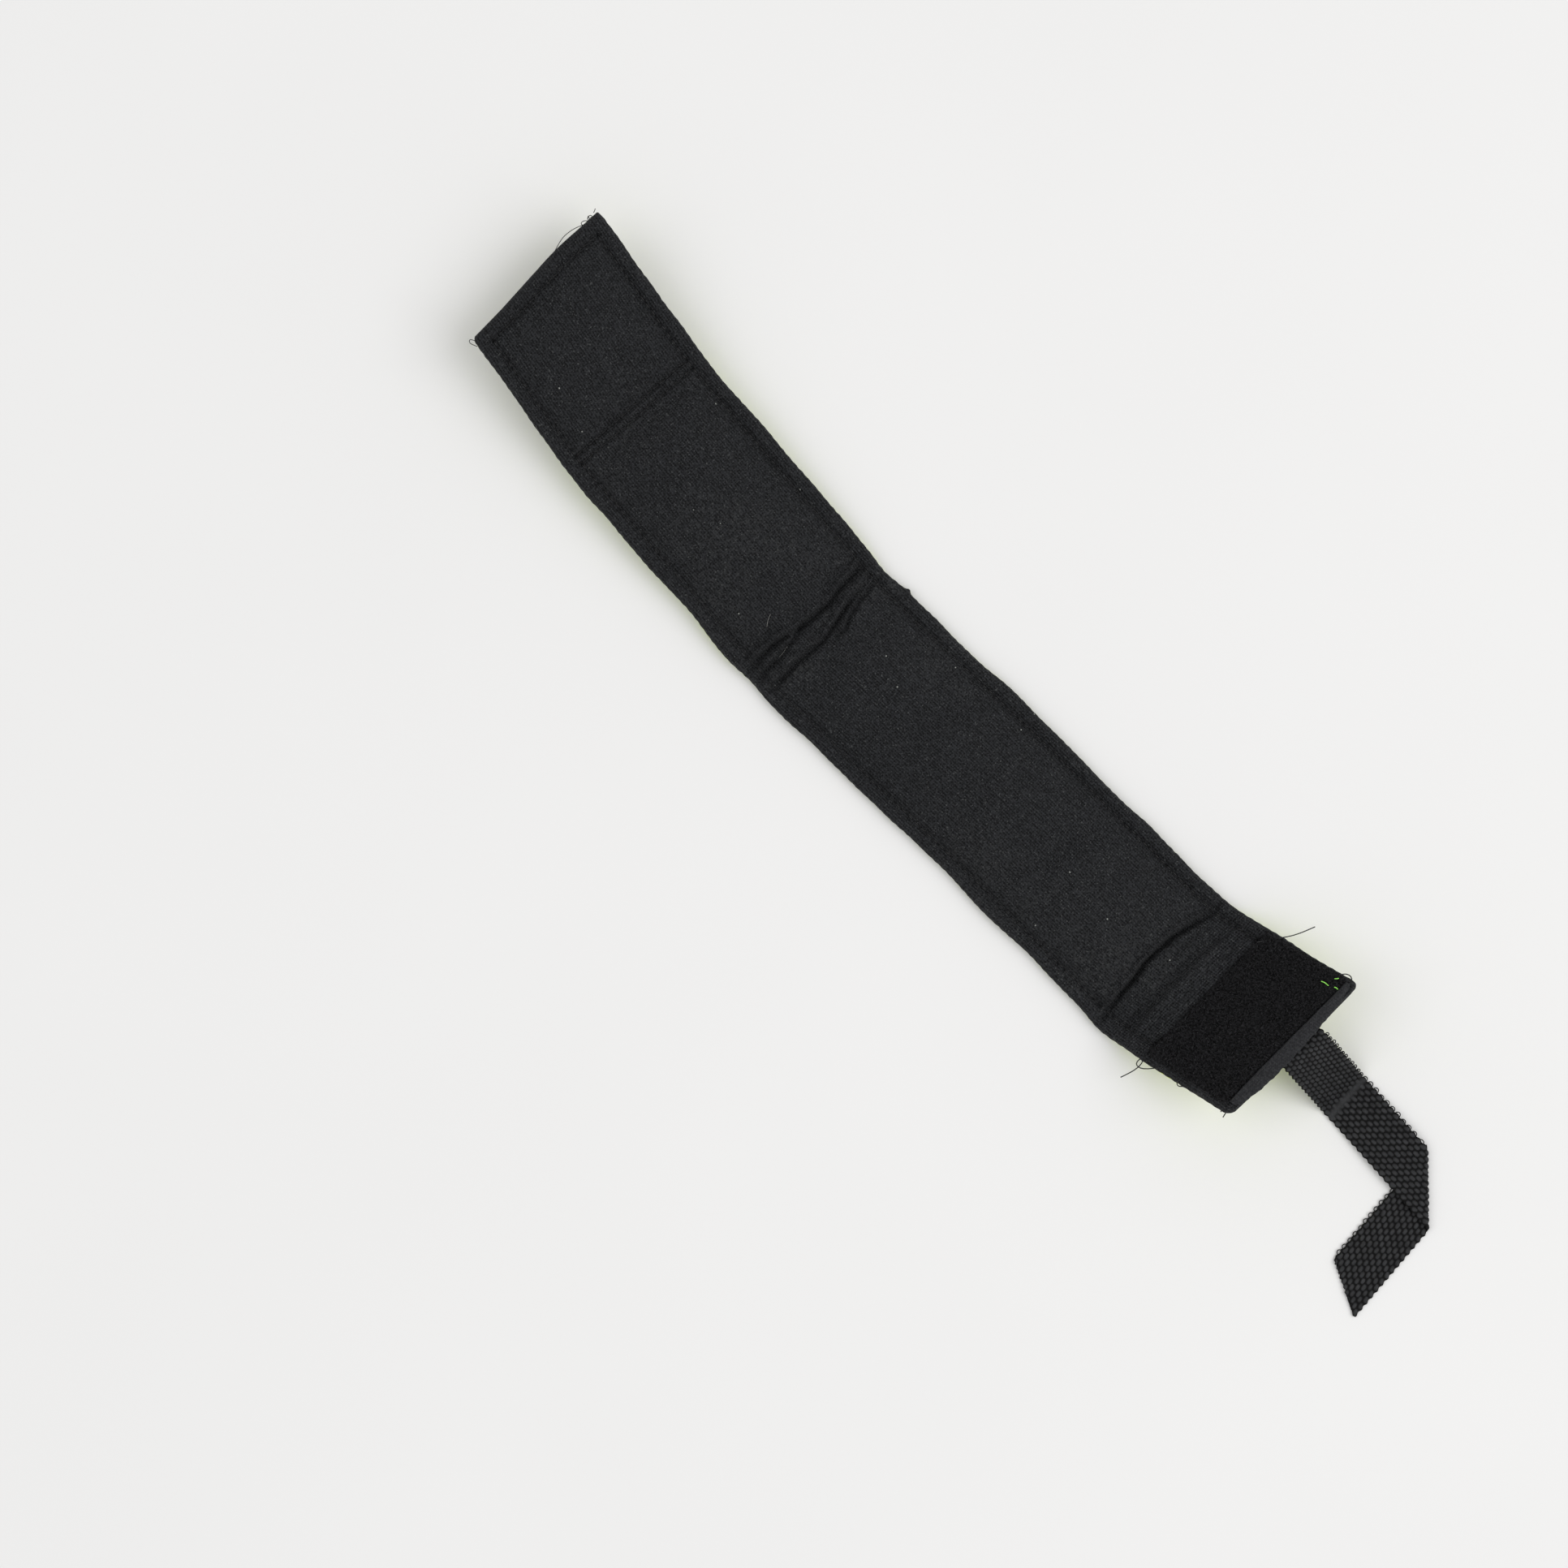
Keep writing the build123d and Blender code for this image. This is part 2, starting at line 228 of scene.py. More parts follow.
def knit(name, dark, light, dust=True, ribs=1.0):
    """Ribs along the band over small stitches, speckled, and with dust where asked for."""
    paint = Paint(name, 0.86, Sheen_Weight=0.02, Sheen_Roughness=0.45, Specular_IOR_Level=0.12)
    along, across = paint.flat()
    wander = paint.times(paint.noise(70), 2.2)
    rib = paint.wave(across, 0.95, wander)
    stitch = paint.wave(along, 0.80, paint.times(rib, 1.4))
    weave = paint.plus(paint.times(rib, 0.62 * ribs), paint.times(stitch, 0.38))
    tone = paint.ramp(weave, -0.9, 0.9)
    mottle = paint.ramp(paint.noise(1300, 2.0), 0.43, 0.59)
    patchy = paint.ramp(paint.noise(260, 3.0), 0.35, 0.65)
    tone = paint.plus(paint.times(tone, 0.42), paint.times(mottle, 0.46))
    tone = paint.plus(tone, paint.times(patchy, 0.08))
    # ribs across the band between the last crease and the patch
    near_patch = paint.times(paint.ramp(along, 86, 90), paint.ramp(along, 104, 103))
    cross = paint.ramp(paint.wave(along, 0.98), -1, 1, -0.16, 0.16)
    tone = paint.plus(tone, paint.times(near_patch, cross))
    base = paint.mix(tone, dark, light)
    if dust:
        spark = paint.ramp(paint.noise(1500, 1.0), 0.64, 0.74, 0.0, 0.75)
        base = paint.mix(spark, base, (0.075, 0.078, 0.078))
        # dust in clouds, thickest by the crease between the pockets, and single pale dots
        cloud = paint.ramp(paint.noise(20, 5.0), 0.50, 0.76, 0.0, 0.40)
        near = paint.ramp(paint.math("ABSOLUTE", paint.plus(along, 85)), 11, 4, 0.0, 0.45)
        cloud = paint.plus(cloud, paint.times(near, paint.ramp(paint.noise(60), 0.4, 0.7)))
        grain = paint.ramp(paint.noise(650, 2.0), 0.45, 0.66)
        base = paint.mix(paint.times(cloud, grain), base, (0.050, 0.051, 0.051))
        cells = paint.node("ShaderNodeTexVoronoi", Scale=190.0, Vector=paint.object_space())
        dot = paint.math("LESS_THAN", cells.outputs["Distance"], 0.055)
        chosen = paint.node("ShaderNodeSeparateColor", i0=cells.outputs["Color"]).outputs[0]
        dot = paint.times(dot, paint.math("GREATER_THAN", chosen, 0.80))
        base = paint.mix(dot, base, (0.26, 0.27, 0.25))
    paint.colour(base)
    paint.roughness(paint.ramp(mottle, 0.0, 1.0, 0.74, 0.95))
    return paint.bump(paint.plus(weave, paint.times(mottle, 0.8)), 0.16, 0.9)


def fuzz(name, painted_highlight=1.0):
    """The loop patch's pile. Its curls get a lighter tone, a painted highlight."""
    paint = Paint(name, 0.95, Sheen_Weight=0.02, Sheen_Roughness=0.6, Specular_IOR_Level=0.10)
    clump = paint.noise(1300, 3.0)
    # the lighter tone, raised for the curls as a painted highlight
    light = tuple(part * painted_highlight for part in (0.0190, 0.0190, 0.0205))
    paint.colour(paint.mix(paint.ramp(clump, 0.35, 0.7), (0.0003, 0.0003, 0.0004), light))
    paint.roughness(paint.ramp(clump, 0.3, 0.7, 0.85, 1.0))
    return paint.bump(clump, 0.5)


def yarn(name, dark, light, roughness, twist, pitch):
    """Strands that lie aslant by the twist, pitch mm apart."""
    paint = Paint(name, roughness)
    along, across = paint.flat()
    lay = paint.plus(across, paint.times(along, twist))
    strand = paint.wave(lay, pitch, paint.times(paint.noise(600), 2.0))
    shade = paint.times(paint.plus(paint.ramp(strand, -1, 1), paint.noise(260, 3.0)), 0.5)
    paint.colour(paint.mix(shade, dark, light))
    paint.roughness(paint.ramp(shade, 0.2, 0.8, roughness - 0.07, roughness + 0.1))
    return paint.bump(strand, 0.03, 0.7)


def webbing():
    """Glossy floats over gaps: the tone follows the weave's own relief, painted highlight on the floats
    and painted shade in the gaps.
    """
    paint = Paint("webbing_black", 0.45, Specular_IOR_Level=0.22)
    along, across = paint.flat()
    relief = paint.tree.nodes.new("ShaderNodeAttribute")
    relief.attribute_name = "relief"
    rise = paint.ramp(relief.outputs["Fac"], 0.22, 0.85)
    lay = paint.plus(across, paint.times(along, 0.22))
    strand = paint.wave(lay, 0.26, paint.times(paint.noise(500), 2.5))
    # the floats' tops are painted lighter and the gaps darker, as painted highlight and painted shade from
    # the relief
    painted_light_share = paint.times(rise, paint.ramp(strand, -1.0, 1.0, 0.55, 1.0))
    painted_light_share = paint.times(painted_light_share, paint.ramp(paint.noise(330, 3.0), 0.3, 0.7, 0.6, 1.25))
    # near black in the gaps as painted shade, grey on the floats' tops as painted highlight
    paint.colour(paint.mix(painted_light_share, (0.0001, 0.0001, 0.0002), (0.0330, 0.0340, 0.0365)))
    paint.roughness(paint.ramp(painted_light_share, 0.0, 1.0, 0.72, 0.42))
    return paint.bump(strand, 0.035, 0.8)


def woven_yellow():
    """Plain weave, a little soiled, with slack waves in it."""
    paint = Paint("cloth_yellow", 0.62, Sheen_Weight=0.15, Sheen_Roughness=0.5, Specular_IOR_Level=0.35)
    along, across = paint.flat()
    warp, weft = paint.wave(across, 0.55), paint.wave(along, 0.60)
    cross = paint.times(warp, weft)
    tone = paint.times(paint.plus(paint.ramp(cross, -1, 1), paint.noise(180, 4.0)), 0.5)
    soil = paint.ramp(paint.noise(30, 5.0), 0.55, 0.8, 0.0, 0.4)
    base = paint.mix(tone, (0.62, 0.78, 0.010), (0.80, 0.95, 0.035))
    paint.colour(paint.mix(soil, base, (0.50, 0.56, 0.10)))
    paint.roughness(paint.ramp(tone, 0.2, 0.8, 0.5, 0.72))
    slack = paint.times(paint.noise(55, 3.0), 9.0)
    return paint.bump(paint.plus(cross, slack), 0.06, 0.7)


def film():
    paint = Paint("bag_film", 0.3, Specular_IOR_Level=0.5)
    haze = paint.noise(60, 5.0)
    paint.colour(paint.mix(haze, (0.55, 0.56, 0.57), (0.75, 0.76, 0.78)))
    paint.roughness(paint.ramp(haze, 0.3, 0.7, 0.22, 0.42))
    return paint.bump(haze, 0.3, 0.5)


def sand():
    paint = Paint("iron_sand", 0.55, Metallic=0.6)
    cells = paint.node("ShaderNodeTexVoronoi", Scale=2200.0, Vector=paint.object_space())
    paint.colour(paint.mix(cells.outputs["Distance"], (0.16, 0.15, 0.15), (0.03, 0.03, 0.032)))
    paint.roughness(paint.ramp(paint.noise(900), 0.3, 0.7, 0.4, 0.7))
    return paint.bump(cells.outputs["Distance"], 0.25, 0.9)


def pale_floor():
    paint = Paint("floor", 0.9, Specular_IOR_Level=0.1)
    paint.colour(paint.mix(paint.noise(6, 2.0), (0.80, 0.80, 0.795), (0.825, 0.825, 0.82)))
    return paint.bump(paint.noise(300, 2.0), 0.02, 0.2)


NEOPRENE = knit("neoprene_black", (0.0004, 0.0004, 0.0006), (0.0330, 0.0345, 0.0375))
NOSE = knit("neoprene_smooth", (0.0120, 0.0125, 0.0140), (0.0420, 0.0430, 0.0455), dust=False, ribs=0.5)
YELLOW = woven_yellow()
# the curls take the pile's material painted 2.2 times lighter, a painted highlight on the standing loops
LOOP, PAINTED_LIGHT_CURLS = fuzz("loop_black"), fuzz("loop_curls", 2.2)
HOOK = yarn("hook_black", (0.006, 0.006, 0.007), (0.020, 0.020, 0.022), 0.5, 0.0, 0.8)
WEBBING = webbing()
THREAD = yarn("thread_black", (0.0025, 0.0025, 0.0030), (0.0120, 0.0120, 0.0130), 0.6, 1.0, 0.3)
GREEN = yarn("thread_green", (0.20, 0.66, 0.06), (0.38, 0.90, 0.16), 0.5, 1.0, 0.3)
LINT = yarn("thread_pale", (0.16, 0.16, 0.15), (0.30, 0.30, 0.28), 0.7, 1.0, 0.3)
FILM, SAND = film(), sand()

floor_mesh = bpy.data.meshes.new("floor")
floor_mesh.from_pydata([(-4, -4, 0), (4, -4, 0), (4, 4, 0), (-4, 4, 0)], [], [(0, 1, 2, 3)])
floor = bpy.data.objects.new("floor", floor_mesh)
floor_mesh.materials.append(pale_floor())
bpy.context.scene.collection.objects.link(floor)
floor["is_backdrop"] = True


# ---------------- the band's shape
def smooth(t):
    t = np.clip(t, 0, 1)
    return t * t * (3 - 2 * t)


def bell(offset, width):
    return np.exp(-((offset / width) ** 2))


def blurred(values, step, reach):
    """A row of values at an even step, averaged over about reach to each side."""
    weights = np.exp(-0.5 * (np.arange(-40, 41) * step / reach) ** 2)
    return np.convolve(values, weights / weights.sum(), "same")


def softened(column, reach=5.0):
    """One column of LINES against distance along the band, with its corners eased."""
    step = 0.5
    fine = np.arange(TAB_END - 60, BAND_END + 60, step)
    values = np.interp(fine, LINES[:, 0], LINES[:, column])
    for end, inner in ((0, 1), (-1, -2)):
        a, b = LINES[end], LINES[inner]
        slope = (a[column] - b[column]) / (a[0] - b[0]) if column == 1 else 0
        beyond = fine < a[0] if end == 0 else fine > a[0]
        values[beyond] = a[column] + slope * (fine[beyond] - a[0])
    return fine[60:-60], blurred(values, step, reach)[60:-60]


OFFSET, SLANT = softened(1), softened(2, 9.0)


def turned(points, pivot, axis, angle):
    """points turned about a line, each by its own angle in radians."""
    c, s = np.cos(angle)[..., None], np.sin(angle)[..., None]
    q = points - pivot
    return pivot + q * c + np.cross(axis, q) * s + axis * (q @ axis)[..., None] * (1 - c)


def place(s, v, h):
    """From the flat layout (along, across, up) to where the band lies at rest, in mm."""
    s, v, h = np.broadcast_arrays(*(np.asarray(x, float) for x in (s, v, h)))
    slant = np.radians(np.interp(s, *SLANT))
    s = s - 1.2 * bell(v - 10, 15) * smooth((TAB_END + 16 - s) / 16)   # the tab's end bows out
    p = np.stack((s + v * np.sin(slant), np.interp(s, *OFFSET) + v * np.cos(slant), h), -1)
    for line, reach, lead, angle, side in BENDS:
        x, y, tilt = LINES[line]
        axis = np.array((math.sin(math.radians(tilt)), math.cos(math.radians(tilt)), 0))
        ahead = (p[..., :2] - (x, y)) @ np.array((axis[1], -axis[0])) * side
        weight = smooth((ahead + lead) / (2 * reach))
        p = turned(p, np.array((x, y, PIVOT_HEIGHT)), axis, np.radians(angle) * weight)
    return p


def waves(count, shortest, longest, seed):
    """A quiet irregular field over the flat layout, about -1 to 1."""
    rng = np.random.default_rng(seed)
    pitch = rng.uniform(shortest, longest, count)
    heading, phase = rng.uniform(0, WRAP, count), rng.uniform(0, WRAP, count)

    def field(s, v):
        total = 0
        for p, a, f in zip(pitch, heading, phase):
            total = total + np.sin((s * math.cos(a) + v * math.sin(a)) * WRAP / p + f)
        return total / math.sqrt(count)

    return field


broad, medium, fine_waves = waves(7, 45, 110, 1), waves(9, 14, 34, 2), waves(9, 3.5, 8, 3)

# Wrinkles: (along, across) points, depth, width, rise of the lip beside them
WRINKLES = (
    (((-92.0, -30), (-93.0, -22), (-93.3, -15), (-92.1, -7), (-91.6, 0), (-91.4, 8), (-93.1, 14),
      (-94.4, 26)), 2.5, 1.05, 2.1),
    (((-87.0, -30), (-88.1, -24), (-88.7, -17), (-90.0, -10), (-91.6, -4)), 2.0, 1.0, 1.6),
    (((-82.3, -30), (-82.1, -23), (-83.2, -14), (-83.0, -6), (-83.1, 0), (-85.7, 9), (-87.2, 14),
      (-88.9, 26)), 2.5, 1.05, 2.0),
    (((-80.8, 1), (-81.2, 7), (-83.5, 11), (-85.1, 16), (-86.3, 22), (-87.2, 29)), 1.9, 0.95, 1.5),
    (((-97.4, -25), (-97.0, -18), (-97.0, -11)), 0.9, 1.3, 0.6),
    (((-96.8, 12), (-98.0, 19), (-97.6, 27)), 1.0, 1.3, 0.6),
    (((82.7, -31), (81.3, -25), (80.5, -17), (80.1, -11), (78.8, -5), (78.8, 2), (79.4, 9), (81.1, 16),
      (83.3, 24), (83.3, 31)), 3.2, 1.0, 2.4),
    (((90.6, -26), (90.2, -12), (89.9, -2), (90.2, 6), (91.0, 20)), 1.3, 1.9, 1.7),
    (((97.4, -28), (96.8, -10), (96.7, 4), (97.6, 27)), 0.9, 1.6, 0.8),
)


def wrinkled(s, v):
    total = 0
    for points, depth, width, rise in WRINKLES:
        along, across = np.array(points).T
        off = s - np.interp(v, across, along)
        reach = smooth((v - across[0] + 3) / 6) * smooth((across[-1] + 3 - v) / 6)
        lip = bell(off + 2.0 * width, 1.1 * width)
        total = total + reach * (rise * 0.8 * lip - depth * bell(off, width))
    return total


def between(s, low, high, ramp):
    """1 from low to high, easing to 0 at both over a length of ramp."""
    return smooth((s - low) / ramp) * smooth((high - s) / ramp)


def dome(v, power=0.75):
    return np.clip(1 - (v / POCKET_HALF) ** 2, 0, 1) ** power


def swell(s, v):
    """Rise of the skin over the two weight pockets and the tab."""
    short = between(s, -185, -93, 17)
    long = between(s, -82, 80, 20)
    tab = between(s, TAB_ROW, SEAM_ROWS[0], 5)
    flap = between(s, 86, BAND_END, 5) * 0.35
    return 5.2 * (short + long) * dome(v) + (1.6 * tab + flap) * dome(v, 0.5)


SWELLING = {}           # filled by simulate_skin


def simulated(s, v):
    """What the cloth simulation adds to the skin's height."""
    if not SWELLING:
        return 0 * s
    i = np.clip((s - SWELLING["s"]) / SWELLING["step"], 0, SWELLING["rise"].shape[0] - 1.001)
    j = np.clip((v - SWELLING["v"]) / SWELLING["step"], 0, SWELLING["rise"].shape[1] - 1.001)
    i0, j0 = i.astype(int), j.astype(int)
    a, b, r = i - i0, j - j0, SWELLING["rise"]
    low = r[i0, j0] * (1 - b) + r[i0, j0 + 1] * b
    return low * (1 - a) + (r[i0 + 1, j0] * (1 - b) + r[i0 + 1, j0 + 1] * b) * a


def skin(s, v):
    """Height of the black side above the band's base."""
    s, v = np.broadcast_arrays(np.asarray(s, float), np.asarray(v, float))
    a = np.abs(v)
    inside = smooth((STITCH_V - a) / 5)
    h = SKIN_SEWN + swell(s, v) + wrinkled(s, v) * smooth((HALF + 2 - a) / 8)
    h = h + (0.35 * broad(s, v) + 0.20 * medium(s, v)) * inside + 0.04 * fine_waves(s, v)
    # each row of stitches pulls a groove, deeper at each stitch, first along and then across
    groove = 1.25 * (1 + 0.28 * np.cos(s * WRAP / STITCH_PITCH)) * bell(a - STITCH_V, 1.15)
    h = h - groove * smooth((105 - s) / 3) * smooth((s - TAB_ROW + 2) / 3)
    pull = 1.5 * (1 + 0.28 * np.cos(v * WRAP / STITCH_PITCH))
    for row in (TAB_ROW, *SEAM_ROWS):
        groove = pull * bell(s - row, 0.8) - 0.5 * bell(s - row, 2.4)
        h = h - groove * smooth((STITCH_V + 1.5 - a) / 2)
    hem = smooth((a - STITCH_V - 0.5) / 2) + smooth((TAB_ROW - 0.8 - s) / 2)
    h = h + 0.35 * np.clip(hem, 0, 1) * (1 + 0.3 * medium(s, v))
    h = h + 0.8 * bell(s - TAB_END - 2.7, 1.5) * (1 + 0.25 * medium(s, v))
    return np.maximum(h + simulated(s, v), SKIN_LEAST)


def half_width(s, side):
    """Distance from the middle to one edge: waver, a pucker at each stitch, rounded corners."""
    waver = 0.35 * broad(s * 1.6 + 40 * side, 9.0 * side) + 0.12 * medium(s, 50.0 * side)
    pucker = 0.07 * np.cos(s * WRAP / 3.4 + side) * (1 + 0.5 * medium(s * 2, 20.0 * side))
    nub = 1.0 * bell(s + 76.5, 1.1) if side > 0 else 0
    fuller = 1.3 * between(s, 70, BAND_END + 12, 15) if side < 0 else 0
    radius = 2.8
    past = np.clip(np.maximum(s - (BAND_END - radius), TAB_END + 2.2 - s) / radius, 0, 0.97)
    corner = radius * (1 - np.sqrt(1 - past**2))
    return HALF + waver + pucker + nub + fuller - corner - 0.9 * bell(s + 88, 7)


def simulate_skin():
    """Blows the skin up between its rows of stitches, so that it puckers as sewn cloth does."""
    frames, least, most = 20, -0.6, 3.0
    step, low_s, low_v = 2.0, TAB_ROW - 2, -28.0
    s = np.arange(low_s, 106, step)
    v = np.arange(low_v, 28.1, step)
    gs, gv = np.meshgrid(s, v, indexing="ij")
    start = skin(gs, gv)
    points = np.stack((gs, gv, start), -1).reshape(-1, 3) * 0.01   # ten times life size, for the solver
    upward = grid_faces(len(s), len(v))[:, ::-1]
    obj = new_mesh("swelling", points * 1000, upward, None)
    held = obj.vertex_groups.new(name="held")
    a, flat_s = np.abs(gv).ravel(), gs.ravel()
    fast = (a >= STITCH_V - 0.5) | (flat_s > 98) | (flat_s < TAB_ROW + 1)
    for row in SEAM_ROWS:
        fast |= np.abs(flat_s - row) < 1.2
    held.add(np.nonzero(fast)[0].tolist(), 1.0, "REPLACE")
    cloth = obj.modifiers.new("cloth", "CLOTH")
    cloth.point_cache.frame_start, cloth.point_cache.frame_end = 1, frames
    settings = cloth.settings
    settings.vertex_group_mass = "held"
    settings.effector_weights.gravity = 0
    settings.use_pressure, settings.uniform_pressure_force = True, 2
    settings.shrink_min = -0.02
    settings.tension_stiffness = settings.compression_stiffness = 20
    settings.bending_stiffness = 2.0
    for number in range(1, frames + 1):
        bpy.context.scene.frame_set(number)
    shape = obj.evaluated_get(bpy.context.evaluated_depsgraph_get()).data
    moved = np.zeros(len(shape.vertices) * 3)
    shape.vertices.foreach_get("co", moved)
    rise = moved.reshape(len(s), len(v), 3)[..., 2] * 100 - start
    bpy.context.scene.frame_set(1)
    bpy.data.objects.remove(obj)
    SWELLING.update(s=low_s, v=low_v, step=step, rise=np.clip(rise, least, most))


# ---------------- mesh helpers
def grid_faces(rows, columns, closed=False):
    """Quads of a grid of vertices, row by row; closed joins the last column to the first."""
    i = np.arange(rows - 1)[:, None] * columns
    j = np.arange(columns if closed else columns - 1)[None, :]
    k = (j + 1) % columns
    return np.stack((i + j, i + k, i + columns + k, i + columns + j), -1).reshape(-1, 4)


def new_mesh(name, points, faces, material, flat=None, sharp=None):
    """A mesh object from points in mm, with the flat layout as its UV map."""
    mesh = bpy.data.meshes.new(name)
    points = np.asarray(points).reshape(-1, 3) * MM
    mesh.from_pydata(points.tolist(), [], [list(map(int, f)) for f in faces])
    mesh.polygons.foreach_set("use_smooth", [True] * len(mesh.polygons))
    if flat is not None:
        corner = np.zeros(len(mesh.loops), int)
        mesh.loops.foreach_get("vertex_index", corner)
        layer = mesh.uv_layers.new(name="flat")
        layer.data.foreach_set("uv", (np.asarray(flat).reshape(-1, 2)[corner] * MM).ravel())
    if sharp:
        mesh.set_sharp_from_angle(angle=math.radians(sharp))
    mesh.validate()
    obj = bpy.data.objects.new(name, mesh)
    if material:
        mesh.materials.append(material)
    bpy.context.scene.collection.objects.link(obj)
    return obj


def lofted(name, s, v, h, material, mapping=place, sharp=50):
    """A closed solid through rings of (along, across, up), one ring per station."""
    rows, columns = h.shape
    points = mapping(s, v, h)
    faces = [tuple(reversed(f)) for f in grid_faces(rows, columns, closed=True)]
    faces.append(tuple(range(columns)))
    faces.append(tuple(reversed(range((rows - 1) * columns, rows * columns))))
    flat = np.stack(np.broadcast_arrays(s, v), -1)
    return new_mesh(name, points, faces, material, flat, sharp)


def tubes(lines, radius, sides=5):
    """Thread along many lines at once: lines is (count, points, 3). Returns points and faces."""
    lines = np.asarray(lines, float)
    count, steps = lines.shape[:2]
    along = np.gradient(lines, axis=1)
    along /= np.linalg.norm(along, axis=2, keepdims=True) + 1e-9
    helper = np.where(np.abs(along[..., 2:]) < 0.9, np.array((0, 0, 1.0)), np.array((1.0, 0, 0)))
    side = np.cross(along, helper)
    side /= np.linalg.norm(side, axis=2, keepdims=True) + 1e-9
    rise = np.cross(side, along)
    turn = np.arange(sides) * WRAP / sides
    ring = side[:, :, None] * np.cos(turn)[:, None] + rise[:, :, None] * np.sin(turn)[:, None]
    points = lines[:, :, None] + ring * radius
    one = grid_faces(steps, sides, closed=True)
    size = steps * sides
    faces = [tuple(f) for n in range(count) for f in one + n * size]
    for n in range(count):
        faces.append(tuple(reversed(range(n * size, n * size + sides))))
        faces.append(tuple(range((n + 1) * size - sides, (n + 1) * size)))
    return points.reshape(-1, 3), faces


def thread_piece(name, lines, radius, material, sides=5, mapping=None):
    """Threads as one piece. With a mapping, the lines are in the flat layout."""
    points, faces = tubes(lines, radius, sides)
    flat = points[:, :2]
    if mapping is not None:
        points = mapping(points[:, 0], points[:, 1], points[:, 2])
    return new_mesh(name, points, faces, material, flat)


def bend(obj, region):
    """Bakes a piece of the band's transform into its mesh; its region's joint is looked up but nothing is
    bent over it.
    """
    *_, a, b, joint, before, after = REGIONS[region]
    pivot, axis = hinges[joint]
    axis = axis * (1 if axis[1] > 0 else -1)
    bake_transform(obj)


def beside(s, *parts):
    """Parts of the rings next to each other, each spread over all stations."""
    return np.hstack([np.broadcast_to(part, (len(s), np.shape(part)[-1])) for part in parts])


def stations(low, high, step=0.8):
    return np.linspace(low, high, int(round((high - low) / step)) + 1)[:, None]


# ---------------- black skin and yellow outer side
simulate_skin()

# Shares of the half width where the skin is drawn: closer by the stitches and the edges
side_share = np.concatenate((
    np.linspace(0.765, 0.875, 11), np.linspace(0.895, 0.94, 3), np.linspace(0.95, 1, 7),
))
share = np.concatenate((-side_share[::-1], np.linspace(-0.745, 0.745, 70), side_share))


def black_rings(s):
    """Rings of the black skin: its top, rounded into the edges, and its hidden underside."""
    left, right = half_width(s, -1), half_width(s, 1)
    top_v = np.where(share < 0, share * left, share * right)
    edge = np.where(share < 0, left, right)
    side_round, end_round = 1.9, 1.6
    round_in = np.clip((np.abs(top_v) - (edge - side_round)) / side_round, 0, 1)
    ends = np.clip((TAB_END + end_round - s) / end_round, 0, 1)
    drop = np.sqrt(np.clip(1 - round_in**2, 0, 1)) * np.sqrt(np.clip(1 - ends**2, 0.05, 1))
    top_h = SKIN_EDGE + (skin(s, top_v) - SKIN_EDGE) * drop
    low_share = np.linspace(1, -1, 33)[1:-1]
    low_v = np.where(low_share < 0, low_share * (left - 0.9), low_share * (right - 0.9))
    low_h = np.maximum(skin(s, low_v) - SKIN_THICK, CLOTH_TOP)
    return np.hstack((top_v, low_v)), np.hstack((top_h, low_h))


def yellow_rings(s):
    """Rings of the outer cloth: it stands a little proud of the skin along the edges."""
    peek_right = 0.45 * bell(s + 97, 12) + 0.3 * bell(s + 40, 20)
    peek_left = 0.45 * bell(s + 112, 12) + 0.4 * bell(s - 112, 9)
    left, right = half_width(s, -1) - 0.45 + peek_left, half_width(s, 1) - 0.45 + peek_right
    columns = 70
    t = np.concatenate((np.linspace(-1, 1, columns), np.linspace(1, -1, columns)[1:-1]))
    under = np.arange(len(t)) >= columns
    v = np.where(t < 0, t * left, t * right)
    edge = np.where(t < 0, left, right)
    rounded = np.sqrt(np.clip(1 - np.clip((np.abs(v) - edge + 1.0) / 1.0, 0, 1) ** 2, 0, 1))
    groove = 0.55 * bell(np.abs(v) - STITCH_V, 0.9) * (s < PATCH_START + 30)
    for row in (TAB_ROW, *SEAM_ROWS):
        groove = groove + 0.5 * bell(s - row, 0.9) * (np.abs(v) < STITCH_V)
    puckers = 0.05 + 0.16 * np.maximum(1 + medium(s * 1.3, v), 0) * smooth((HALF - np.abs(v)) / 3)
    low = CLOTH_MIDDLE - 0.6 * rounded + groove + puckers
    high = CLOTH_MIDDLE + 0.58 * rounded
    return v, np.where(under, np.minimum(low, 0.9), high)


# How the CAD nodes are named that each stretch stands for
NODE_ENDS = {"tab": ("tab", "short"), "crease": ("rear",), "middle": ("front",), "end": ("end",)}
for region, (low, high, *_) in REGIONS.items():
    s = stations(low, high, 0.8 if region == "middle" else 0.45)
    piece = lofted(f"inner_panel_{region}_stretch", s, *black_rings(s), NEOPRENE)
    bend(piece, region)
    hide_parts(*(f"inner_panel_{end}" for end in NODE_ENDS[region]))
    s = stations(max(low, TAB_END + 0.8), min(high, BAND_END - 1.4), 1.2)
    piece = lofted(f"outer_panel_{region}_stretch", s, *yellow_rings(s), YELLOW)
    bend(piece, region)
    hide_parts(*(f"outer_panel_{end}" for end in NODE_ENDS[region]))


# ---------------- weight bags and their fill
# Each pocket's ends, and its share of each stretch
POCKETS = {
    "short": (-178.5, -93.5, {"tab": (-178.5, -136.0), "crease": (-136.0, -93.5)}),
    "long": (-75.5, 75.5, {"crease": (-75.5, -42.0), "middle": (-42.0, 42.0), "end": (42.0, 75.5)}),
}
INNER_NODES = {("short", "tab"): "short", ("long", "crease"): "rear", ("long", "middle"): "front"}


